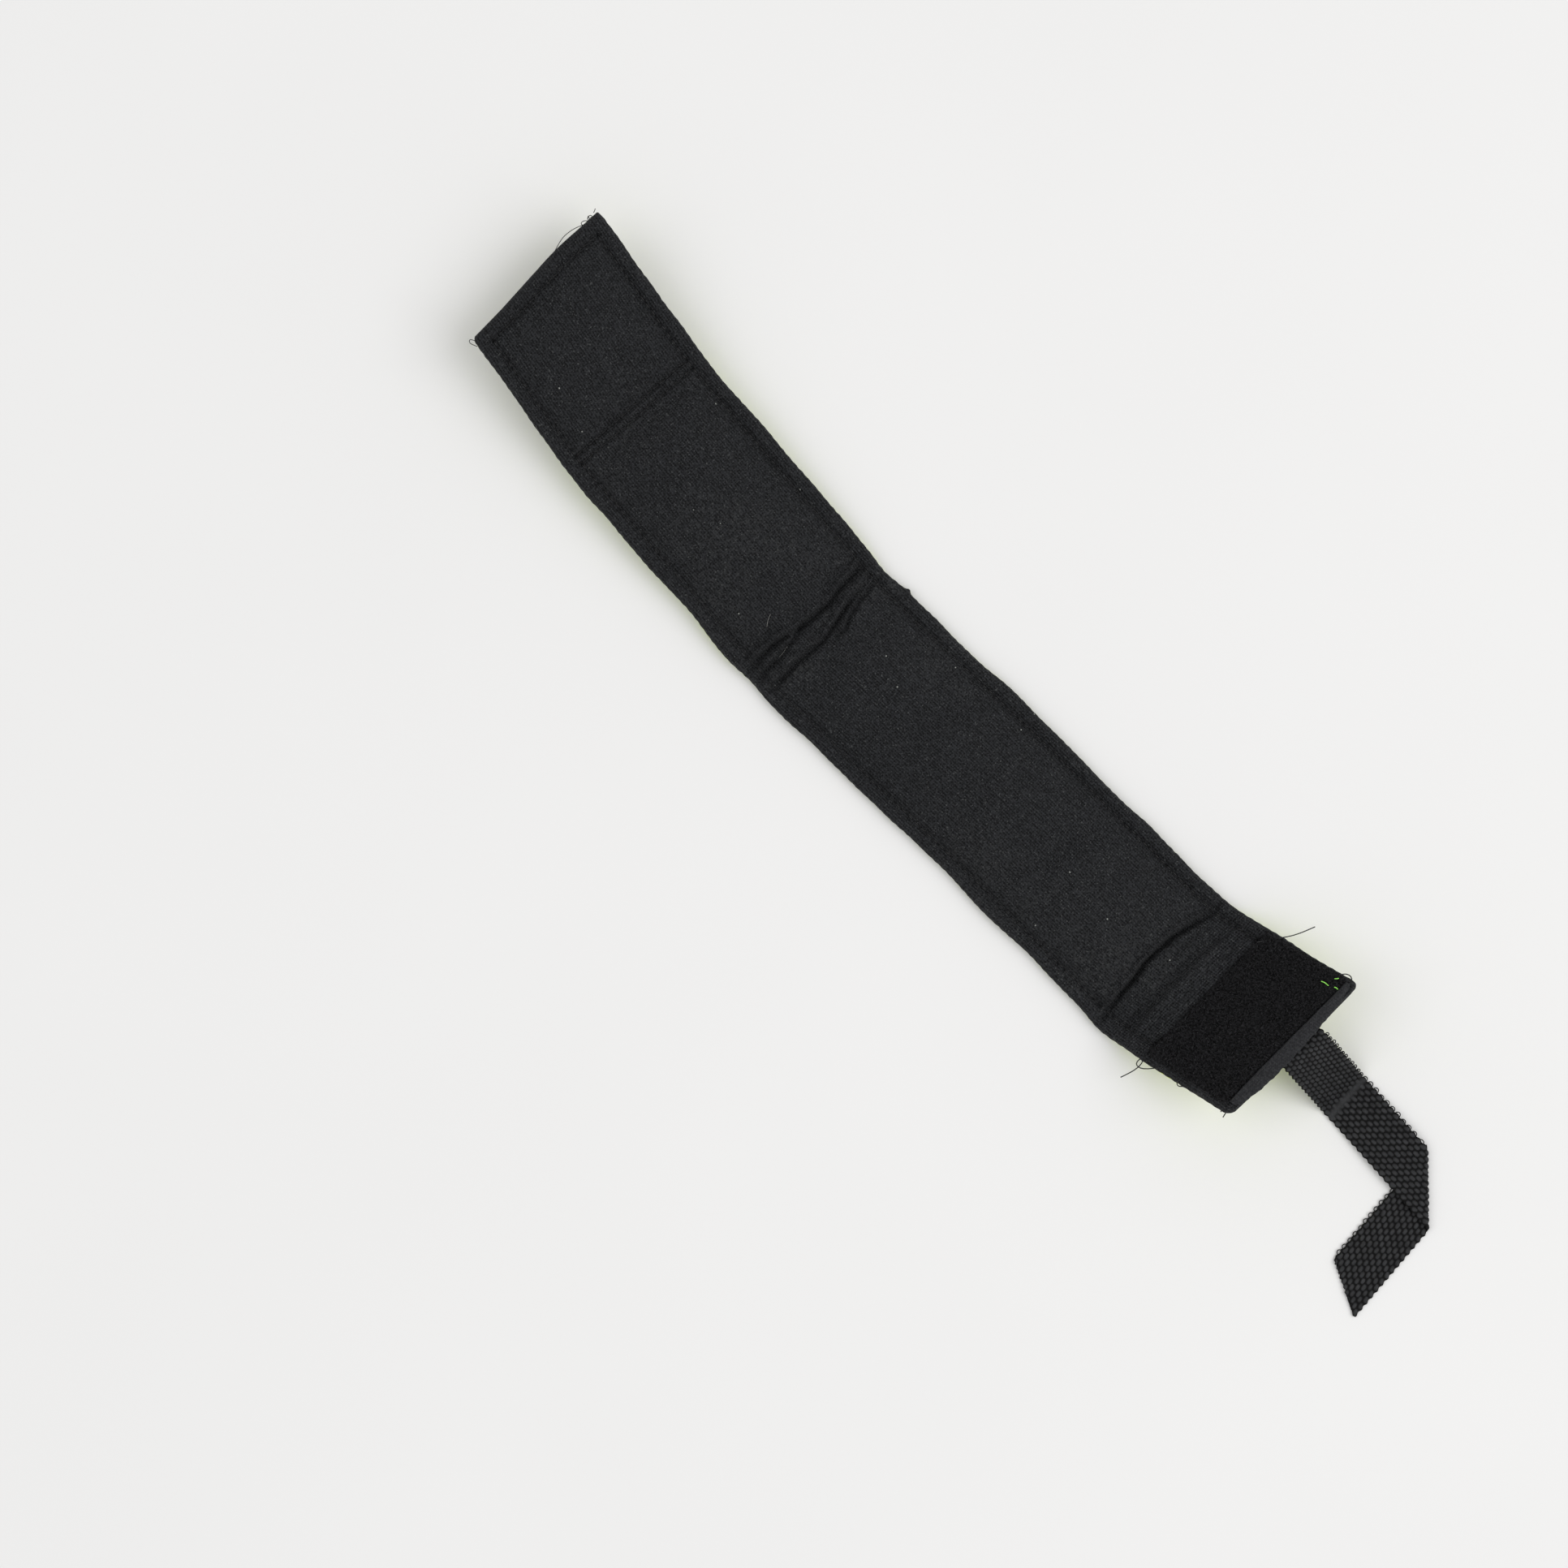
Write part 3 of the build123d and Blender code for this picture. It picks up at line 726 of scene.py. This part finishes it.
def lens(name, span, ends, gap, margin, material):
    """A bag or its fill: a flat floor under a dome that thins out towards its two ends."""
    low, high = span
    s = stations(low, high, 1.5)
    half = POCKET_HALF - margin
    t = np.linspace(-1, 1, 31)
    taper = 0.25 + 0.75 * smooth((s - ends[0]) / 20) * smooth((ends[1] - s) / 20)
    room = np.maximum(skin(s, t * half) - SKIN_THICK - gap, BAG_FLOOR + gap)
    top = BAG_FLOOR + gap + (room - BAG_FLOOR - gap) * taper * np.sqrt(1 - t**2) ** 0.5
    under = np.linspace(1, -1, 15)[1:-1]
    v = beside(s, t * half, under * half)
    return lofted(name, s, v, beside(s, top, BAG_FLOOR + gap + 0 * under), material)


for pocket, (low, high, spans) in POCKETS.items():
    for region, span in spans.items():
        for kind, gap, margin, material, slot in (
            ("pouch", 0.15, 2.5, FILM, "bag_film"), ("fill", 0.55, 4.5, SAND, "iron_sand"),
        ):
            piece = lens(f"{kind}_{pocket}_{region}", span, (low, high), gap, margin, material)
            bend(piece, region)
            if (pocket, region) in INNER_NODES:
                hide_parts(f"{kind}_{INNER_NODES[pocket, region]}")


# ---------------- rows of stitching
def stitch_lines(start, end, height, fixed, along_band, under=False):
    """Stitches of one row as short arcs in the flat layout: they dip into the cloth at both ends."""
    centres = np.arange(start + STITCH_PITCH / 2, end - 0.8, STITCH_PITCH)[:, None]
    t = np.linspace(-1, 1, 6)
    run = centres + t * 1.22 + random.normal(0, 0.05, centres.shape)
    wander = fixed + random.normal(0, 0.07, centres.shape)
    wander = wander + 0.10 * t * random.normal(0, 1, centres.shape)
    s, v = (run, wander) if along_band else (wander, run)
    arch = 0.30 * (1 - t**4) - 0.16
    lift = height(s, v) + (-0.5 * arch if under else arch)
    return np.stack((*np.broadcast_arrays(s, v), lift), -1)


def under_height(s, v):
    """Height of the bobbin thread, in the grooves of the outer side."""
    return np.full(np.broadcast(s, v).shape, 0.34)


STITCH_NODES = {"tab": "edge_stitch_short", "crease": "edge_stitch_rear", "middle": "edge_stitch_front"}
for region, (low, high, *_) in REGIONS.items():
    start = max(low, TAB_ROW)
    end = min(high, PATCH_START)
    for name, height, under, radius, material, slot in (
        ("topstitch", skin, False, STITCH_RADIUS, THREAD, "thread_black"),
        ("bobbin_stitch", under_height, True, BOBBIN_RADIUS, GREEN, "thread_green"),
    ):
        rows = [stitch_lines(start, end, height, side * STITCH_V, True, under) for side in (-1, 1)]
        piece = thread_piece(f"{name}_{region}", np.concatenate(rows), radius, material, mapping=place)
        bend(piece, region)
        if not under and region in STITCH_NODES:
            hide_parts(STITCH_NODES[region])

for name, rows, node in (
    ("seam_stitch_pocket", SEAM_ROWS[1:], "cross_seam_stitch"),
    ("box_stitch_tab_rows", (TAB_ROW, SEAM_ROWS[0]), "box_stitch_tab"),
):
    top = np.concatenate([stitch_lines(-STITCH_V, STITCH_V, skin, row, False) for row in rows])
    piece = thread_piece(name, top, STITCH_RADIUS, THREAD, mapping=place)
    bend(piece, "tab")
    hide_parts(node)
rows = [stitch_lines(-STITCH_V, STITCH_V, under_height, row, False, True) for row in (TAB_ROW, *SEAM_ROWS)]
piece = thread_piece("bobbin_stitch_seams", np.concatenate(rows), BOBBIN_RADIUS, GREEN, mapping=place)
bend(piece, "tab")


# ---------------- loop patch
PATCH_HALF, PATCH_BASE = HALF - 0.7, 4.05


def patch_top(s, v):
    """Height of the pile: clumps, thinning out at the patch's edges."""
    clump = 0.30 * waves(14, 1.1, 2.6, 11)(s, v) + 0.22 * waves(12, 3, 7, 12)(s, v)
    edge = np.minimum(np.minimum(s - PATCH_START, PATCH_END - s), PATCH_HALF - np.abs(v))
    return 4.35 + 1.15 * smooth(edge / 1.6) + 0.45 * clump * smooth(edge / 1.2)


s = stations(PATCH_START, PATCH_END, 0.45)
t = np.linspace(-1, 1, 139)
ragged = 0.35 * waves(8, 2.5, 7, 13)(t * 31, 0 * t) * bell(s - PATCH_START, 2)
under = np.linspace(1, -1, 21)[1:-1] * PATCH_HALF
v = beside(s, t * PATCH_HALF, under)
h = beside(s, patch_top(s, t * PATCH_HALF), PATCH_BASE + 0 * under)
patch = lofted("loop_patch_pile", s + beside(s, ragged, 0 * under), v, h, LOOP)
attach(patch, "loop_end")
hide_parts("loop_patch")

# Curls that stand up from the pile, each a short arch turned its own way
count, curl_radius = 5200, 0.105
middle_s = random.uniform(PATCH_START - 0.3, PATCH_END - 0.3, count)
middle_v = random.uniform(-HALF + 1.0, HALF - 1.0, count)
turn = random.uniform(0, WRAP, count)
span, tall = random.uniform(0.35, 0.85, count), random.uniform(0.35, 0.85, count)
t = np.linspace(-1, 1, 6)
curl = random.uniform(-0.4, 0.4, count)[:, None] * (1 - t**2)
loop_s = middle_s[:, None] + span[:, None] * t * np.cos(turn)[:, None] - curl * np.sin(turn)[:, None]
loop_v = middle_v[:, None] + span[:, None] * t * np.sin(turn)[:, None] + curl * np.cos(turn)[:, None]
loop_h = patch_top(loop_s, loop_v) - 0.15 + tall[:, None] * (1 - t**2)
curl_lines = np.stack((loop_s, loop_v, loop_h), -1)
curls = thread_piece("loop_patch_curls", curl_lines, curl_radius, PAINTED_LIGHT_CURLS, sides=3, mapping=place)
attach(curls, "loop_end")


# ---------------- hook patch under the tab
HOOK_LOW, HOOK_HIGH, HOOK_HALF = TAB_END + 5, SEAM - 5, HALF - 5
HOOK_PITCH, HOOK_RADIUS = 1.7, 0.13


def hook_base(s, v):
    """Face of the tape, which looks down, with a dimple between its hooks."""
    return -0.42 + 0.06 * np.cos(s * WRAP / 1.9) * np.cos(v * WRAP / 1.9)


s = stations(HOOK_LOW, HOOK_HIGH, 0.5)
t = np.linspace(1, -1, 107)
top = np.linspace(-1, 1, 21)[1:-1] * HOOK_HALF
v = beside(s, top, t * HOOK_HALF)
h = beside(s, 0.05 + 0 * top, hook_base(s, t * HOOK_HALF))
hooks_base = lofted("hook_patch_tape", s, v, h, HOOK)
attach(hooks_base, "hook_tab")
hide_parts("hook_patch")

row_s, row_v = np.meshgrid(
    np.arange(HOOK_LOW + 3.2, HOOK_HIGH - 2.6, HOOK_PITCH),
    np.arange(-HOOK_HALF + 3.2, HOOK_HALF - 2.6, HOOK_PITCH), indexing="ij",
)
row_s, row_v = row_s.ravel(), row_v.ravel()
# One hook's line: along the band and down from the tape. Every second hook faces the other way
profile = np.array([(0, 0.0), (-0.10, -0.45), (0.02, -0.95), (0.33, -1.22), (0.66, -1.10), (0.78, -0.80)])
flip = np.where(np.arange(len(row_s)) % 2 == 0, 1.0, -1.0)
lean = random.normal(0, 0.06, len(row_s))
hook_s = row_s[:, None] + profile[:, 0] * flip[:, None]
hook_v = row_v[:, None] + lean[:, None] * np.arange(len(profile))
hook_h = -0.38 + np.broadcast_to(profile[:, 1], hook_s.shape)
hook_lines = np.stack((hook_s, hook_v, hook_h), -1)
hooks = thread_piece("hook_patch_hooks", hook_lines, HOOK_RADIUS, HOOK, mapping=place)
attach(hooks, "hook_tab")


# ---------------- rolled end over the strap's exit
ROLL_HEIGHT = 4.45
v = np.linspace(-28.8, 29.4, 95)[:, None]
turn = np.radians(np.linspace(100, -80, 22))
reach = np.clip((v + 29.6) / 59.6, 0, 1)
bulge = 11.2 * reach**0.36 * (1 - reach) ** 0.42 * (0.66 + 0.10 * np.cos(reach * 3.1))
bulge = bulge + 0.12 * np.sin(v * 0.9) + 0.08 * np.sin(v * 2.3 + 1)
round_s = PATCH_END + 0.5 + np.maximum(bulge, 0.35) * np.cos(turn)
round_h = ROLL_HEIGHT + 1.38 * np.sin(turn) + 0.10 * np.sin(v * 0.5)
back = np.linspace(-1, 1, 6)[1:-1]
s = beside(v, round_s, PATCH_END - 0.3 + 0 * back)
h = beside(v, round_h, ROLL_HEIGHT + 1.2 * back)
end_roll = lofted("end_binding_roll", s, v, h, NOSE)
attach(end_roll, "loop_end")
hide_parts("end_binding")

seam_v = np.linspace(-28.5, 29.5, 140)
seam_s, seam_h = PATCH_END + 0.35 + 0.1 * np.sin(seam_v), 5.72 + 0.05 * np.sin(seam_v * 3)
seam_line = np.stack((seam_s, seam_v, seam_h), -1)
piece = thread_piece("end_seam_thread", seam_line[None], 0.16, THREAD, mapping=place)
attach(piece, "loop_end")


# ---------------- pull strap
WEB_HALF, WEB_LAYER = 9.6, 1.7    # half width, rise of the upper layer over the lower
WEB_REST = 0.7          # middle of the lower layer above the floor
WEB_DRIFT = 1.9         # the run leans this far to one side
TAIL_LENGTH = 14        # sewn in before the exit
FLAT_RUN, FOLD_RUN = 50, 72.8    # from the exit to where the strap lies level, and to its fold
TRACK_STEP = 0.25
COLUMNS, FLOAT_PITCH = 11, 2.9   # columns of warp floats, and their length
SELVEDGE = 0.25
PRESSED_AT = 51.5       # a pressed band across the strap
FOLD_LINE = math.radians(-45)
heading = math.radians(-4)
exit_point = hinges["strap_swing"][0] * 1000
ahead = np.array((math.cos(heading), math.sin(heading), 0))
aside = np.array((-math.sin(heading), math.cos(heading), 0))
steep = math.radians(25)
corners = [exit_point - TAIL_LENGTH * np.array((math.cos(steep), 0, math.sin(steep))), exit_point]
for run, height in ((25, 0.72), (FLAT_RUN, 2.40), (92, 2.40)):
    corners.append(np.array((*(exit_point + ahead * run)[:2], height)))
corners = np.array(corners)
length_to = np.concatenate(((0,), np.cumsum(np.linalg.norm(np.diff(corners, axis=0), axis=1))))
dense = np.arange(-30, length_to[-1] + 60, TRACK_STEP)
track = np.stack([np.interp(dense, length_to, corners[:, k]) for k in range(3)], -1)
first, last = corners[1] - corners[0], corners[-1] - corners[-2]
before, after = dense < 0, dense > length_to[-1]
track[before] = corners[0] + dense[before, None] * first / np.linalg.norm(first)
track[after] = corners[-1] + (dense[after, None] - length_to[-1]) * last / np.linalg.norm(last)
track = np.stack([blurred(track[:, k], TRACK_STEP, 1.5) for k in range(3)], -1)
fold_length = length_to[3] + FOLD_RUN - FLAT_RUN
FLAT_FROM = fold_length - 15


def strap_place(u, c, n):
    """From the unfolded strap (along, across, off its face) to where it lies at rest, in mm."""
    u, c, n = np.broadcast_arrays(*(np.asarray(x, float) for x in (u, c, n)))
    centre = np.stack([np.interp(u, dense, track[:, k]) for k in range(3)], -1)
    slope = np.stack([np.interp(u + 0.5, dense, track[:, k]) for k in range(3)], -1) - centre
    slope /= np.linalg.norm(slope, axis=-1, keepdims=True)
    normal = np.cross(slope, aside)
    normal /= np.linalg.norm(normal, axis=-1, keepdims=True)
    normal *= np.where(normal[..., 2:] < 0, -1, 1)
    drift = WEB_DRIFT * smooth(u / 60)
    upper = centre + aside * (c + drift)[..., None] + normal * n[..., None]
    # beyond FLAT_FROM the strap lies level and turns under itself about the diagonal fold
    fold = np.array((*(exit_point + ahead * FOLD_RUN)[:2], 0))
    crease = np.array((math.cos(FOLD_LINE), math.sin(FOLD_LINE), 0))
    outward = np.array((-crease[1], crease[0], 0))
    level = fold + ahead * (u - fold_length)[..., None] + aside * (c + drift)[..., None]
    out, within = (level - fold) @ outward, (level - fold) @ crease
    radius = WEB_LAYER / 2
    turn = math.pi * radius
    bent = np.clip((out + turn / 2) / turn, 0, 1) * math.pi
    past = np.maximum(out - turn / 2, 0)
    before_fold = np.minimum(out, -turn / 2)
    far = before_fold + (radius + n) * np.sin(bent) - past
    height = WEB_REST + radius + (radius + n) * np.cos(bent)
    folded = fold + crease * within[..., None] + outward * far[..., None]
    folded = folded + np.array((0, 0, 1)) * height[..., None]
    blend = smooth((u - FLAT_FROM + 6) / 6)[..., None]
    return upper * (1 - blend) + folded * blend


def floats(u, c, face):
    """Rise of the warp floats on one face: rows of slanting ovals, each column shifted from the last."""
    pitch = 2 * (WEB_HALF - SELVEDGE) / COLUMNS
    column = np.clip(np.floor((c + WEB_HALF - SELVEDGE) / pitch), 0, COLUMNS - 1)
    cc = c + WEB_HALF - SELVEDGE - (column + 0.5) * pitch
    shift = column * 0.5 + np.where(face < 0, 0.25, 0) + 0.05 * np.sin(column * 2.1)
    row = u / FLOAT_PITCH + shift
    index = np.floor(row)
    uu = (row - index - 0.5) * FLOAT_PITCH
    cc = cc - 0.10 * uu * face
    # a scattered number from 0 to 1 for each float
    odd = np.sin(column * 12.9898 + index * 78.233) * 43758.5453
    odd = odd - np.floor(odd)
    size = 1 + 0.12 * (odd - 0.5)
    oval = np.clip(1 - np.abs(cc / (0.82 * size)) ** 2.3 - np.abs(uu / (1.36 * size)) ** 2.6, 0, 1)
    return size * oval**0.55


def strap_end(c):
    """Length of the unfolded strap at a place across it: the tip is cut on a slant."""
    return fold_length + 44 - 5.75 * c / 10


def set_relief(obj, values):
    """Stores how far each vertex stands up, which sets the webbing's painted highlight and painted shade.
    """
    relief = obj.data.attributes.new("relief", "FLOAT", "POINT")
    relief.data.foreach_set("value", values)


def web_slab(name, u, to_tip=False):
    """A stretch of webbing as one closed surface, woven on both faces."""
    c = np.linspace(-WEB_HALF, WEB_HALF, 76)
    ring_c = np.concatenate((c, c[::-1]))
    face = np.concatenate((np.ones(len(c)), -np.ones(len(c))))
    ring_u = np.broadcast_to(u, (len(u), len(ring_c))).copy()
    if to_tip:
        share = (ring_u - u[0]) / (u[-1] - u[0])
        ring_u = u[0] + share * (strap_end(ring_c) - u[0])
        frayed = 0.35 * np.sin(ring_c * 4.1) + 0.25 * np.sin(ring_c * 9.7)
        ring_u = ring_u + frayed * np.clip((share - 0.985) / 0.015, 0, 1)
    edge = np.clip((WEB_HALF - np.abs(ring_c)) / 0.7, 0, 1)
    thin = np.sqrt(np.clip(1 - (1 - edge) ** 2, 0.02, 1))
    rise = floats(ring_u, ring_c, face)
    # the pressed band is also raised in the relief, so the webbing paints it lighter: a painted highlight
    # on the strap's bend
    pressed_and_painted_light = bell(ring_u + 0.12 * ring_c - PRESSED_AT, 1.6)
    rise = np.maximum(rise, 0.85 * pressed_and_painted_light)
    depth = (0.14 + 0.52 * rise + 0.12 * pressed_and_painted_light) * thin
    scallop = 0.24 * np.cos(ring_u * WRAP / FLOAT_PITCH + ring_c) * np.sign(ring_c)
    scallop = np.where(np.abs(ring_c) > WEB_HALF - 1.2, scallop, 0)
    slab = lofted(name, ring_u, ring_c + scallop, face * depth, WEBBING, strap_place, sharp=None)
    set_relief(slab, (rise * thin).ravel())
    return slab


SPLIT = FLAT_FROM - 4
rows_a = np.arange(0.0, SPLIT + 0.01, 0.30)[:, None]
near = web_slab("strap_run", rows_a)
rows_b = np.linspace(rows_a[-1, 0], strap_end(0.0), 300)[:, None]
far = web_slab("strap_fold_tip", rows_b, to_tip=True)


def picots(name, low, high):
    """Small loops of yarn that stand out along the one selvedge."""
    centres = np.arange(low + 1, high - 1, FLOAT_PITCH)[:, None]
    t = np.linspace(0, WRAP / 2, 8)
    u = centres + 0.95 * np.cos(t) + random.normal(0, 0.08, centres.shape)
    reach = random.uniform(0.75, 1.15, centres.shape)
    c = WEB_HALF - SELVEDGE + reach * np.sin(t)
    n = 0.10 * np.sin(2 * t) + random.normal(0, 0.06, centres.shape)
    loops = thread_piece(name, np.stack((u, c, n), -1), 0.20, WEBBING, mapping=strap_place)
    # the loops get a middling relief, so the webbing paints them half lit, between painted shade and
    # painted highlight
    set_relief(loops, np.full(len(loops.data.vertices), 0.55))
    return loops


near_picots = picots("strap_run_picots", 15, SPLIT)
far_picots = picots("strap_tip_picots", SPLIT + 1.2, strap_end(WEB_HALF))

# The run bends at its exit and the folded end turns at the fold, where the two layers part in height, in
# their shapes; each piece's transform is baked into its mesh
for piece in (near, near_picots):
    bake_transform(piece)
for piece in (far, far_picots):
    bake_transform(piece)
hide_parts("strap", "strap_tail")
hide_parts("strap_tip")


# ---------------- loose threads and lint
def smooth_line(points, count=24):
    """A line of count points that follows the given ones with its corners rounded."""
    points = np.array(points, float)
    knots = np.linspace(0, 1, len(points))
    t = np.linspace(0, 1, count * 4)
    line = np.stack([np.interp(t, knots, points[:, k]) for k in range(3)], -1)
    kernel = np.hanning(int(count * 4 / len(points)) * 2 + 3)
    kernel /= kernel.sum()
    pad = len(kernel) // 2
    full = np.concatenate((np.repeat(line[:1], pad, 0), line, np.repeat(line[-1:], pad, 0)))
    eased = np.stack([np.convolve(full[:, k], kernel, "valid") for k in range(3)], -1)
    return eased[np.linspace(0, len(eased) - 1, count).astype(int)]


LOOSE_RADIUS, TUFT_RADIUS, LINT_RADIUS, TACK_RADIUS = 0.21, 0.14, 0.07, 0.19

# Loose threads at the band's end and at the tab, in mm where they lie at rest
LOOSE = (
    ((100.6, 27.0, 14.0), (104.3, 32.5, 14.5), (109.0, 38.9, 14.0), (112.4, 47.0, 13.0)),
    ((108.5, -26.5, 15.5), (103.5, -33.0, 13.5), (100.5, -33.2, 13.0), (100.3, -30.2, 13.2),
     (102.2, -30.4, 12.5), (102.3, -34.6, 11.5), (100.4, -40.8, 9.0)),
    ((128.0, 38.9, 26.0), (129.4, 41.0, 26.0), (131.6, 41.6, 25.6), (133.2, 40.0, 25.4),
     (132.8, 38.0, 25.6)),
    ((133.0, -20.5, 26.5), (133.3, -23.0, 26.0), (134.0, -25.3, 25.0)),
    ((132.2, -20.2, 26.0), (131.2, -22.6, 25.6), (132.2, -24.4, 25.0)),
    ((116.0, -24.2, 18.6), (114.4, -27.2, 18.2), (116.2, -28.4, 17.6), (118.2, -26.0, 18.4)),
)
piece = thread_piece("loose_threads_end", [smooth_line(p) for p in LOOSE], LOOSE_RADIUS, THREAD)
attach(piece, "loop_end")

TAB_LOOSE = (
    ((-244.2, 43.5, 21.5), (-246.4, 38.5, 22.0), (-247.2, 33.5, 21.8), (-245.6, 27.5, 21.0)),
    ((-243.0, 45.5, 21.5), (-245.4, 46.2, 22.6), (-245.8, 44.4, 22.6), (-243.8, 43.6, 21.5)),
    ((-243.6, 44.6, 21.5), (-245.8, 43.0, 22.4), (-246.0, 41.2, 22.2), (-243.6, 41.6, 21.4)),
    ((-243.0, 46.0, 21.3), (-245.0, 48.2, 21.4), (-243.6, 48.6, 21.2), (-241.2, 47.6, 21.0)),
    ((-243.0, -13.6, 21.0), (-245.6, -14.8, 21.2), (-244.6, -16.0, 21.0), (-241.4, -14.6, 20.8)),
)
# and a tuft at the tab's corner
tuft = np.random.default_rng(11)
roots = np.array((-243.6, 45.2, 21.2)) + tuft.normal(0, 1, (9, 3)) * (1.0, 1.3, 0.4)
tips = roots + np.array((-0.9, 0.3, 0.5)) + tuft.normal(0, 1, (9, 3)) * (0.5, 1.2, 0.3)
knees = (roots + tips) / 2 + tuft.normal(0, 0.5, (9, 3))
tab_lines = [smooth_line(p) for p in (*TAB_LOOSE, *np.stack((roots, knees, tips), 1))]
piece = thread_piece("loose_threads_tab", tab_lines, TUFT_RADIUS, THREAD)
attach(piece, "hook_tab")


def on_skin(pairs, lift=0.12):
    """A hair that lies on the cloth, from (along, across) pairs."""
    line = smooth_line([(s, v, 0) for s, v in pairs], 14)
    line[:, 2] = (patch_top if line[0, 0] > PATCH_START else skin)(line[:, 0], line[:, 1]) + lift
    return line


hairs = [
    on_skin(((-102.6, -9.8), (-101.4, -12.2), (-99.6, -14.2))),
    on_skin(((-89.8, -12.6), (-89.0, -15.2), (-88.6, -17.8))),
]
piece = thread_piece("lint_hairs", hairs, LINT_RADIUS, LINT, sides=4, mapping=place)
bend(piece, "crease")

green = [
    on_skin(((129.9, 25.0), (131.4, 25.3), (133.2, 25.0)), 0.75),
    on_skin(((134.8, 25.6), (135.5, 25.9), (136.2, 25.7)), 0.8),
    on_skin(((132.9, 28.2), (133.4, 28.6), (133.8, 29.3)), 0.8),
]
piece = thread_piece("bar_tack_thread", green, TACK_RADIUS, GREEN, mapping=place)
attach(piece, "loop_end")
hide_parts("bar_tack")

low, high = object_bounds()
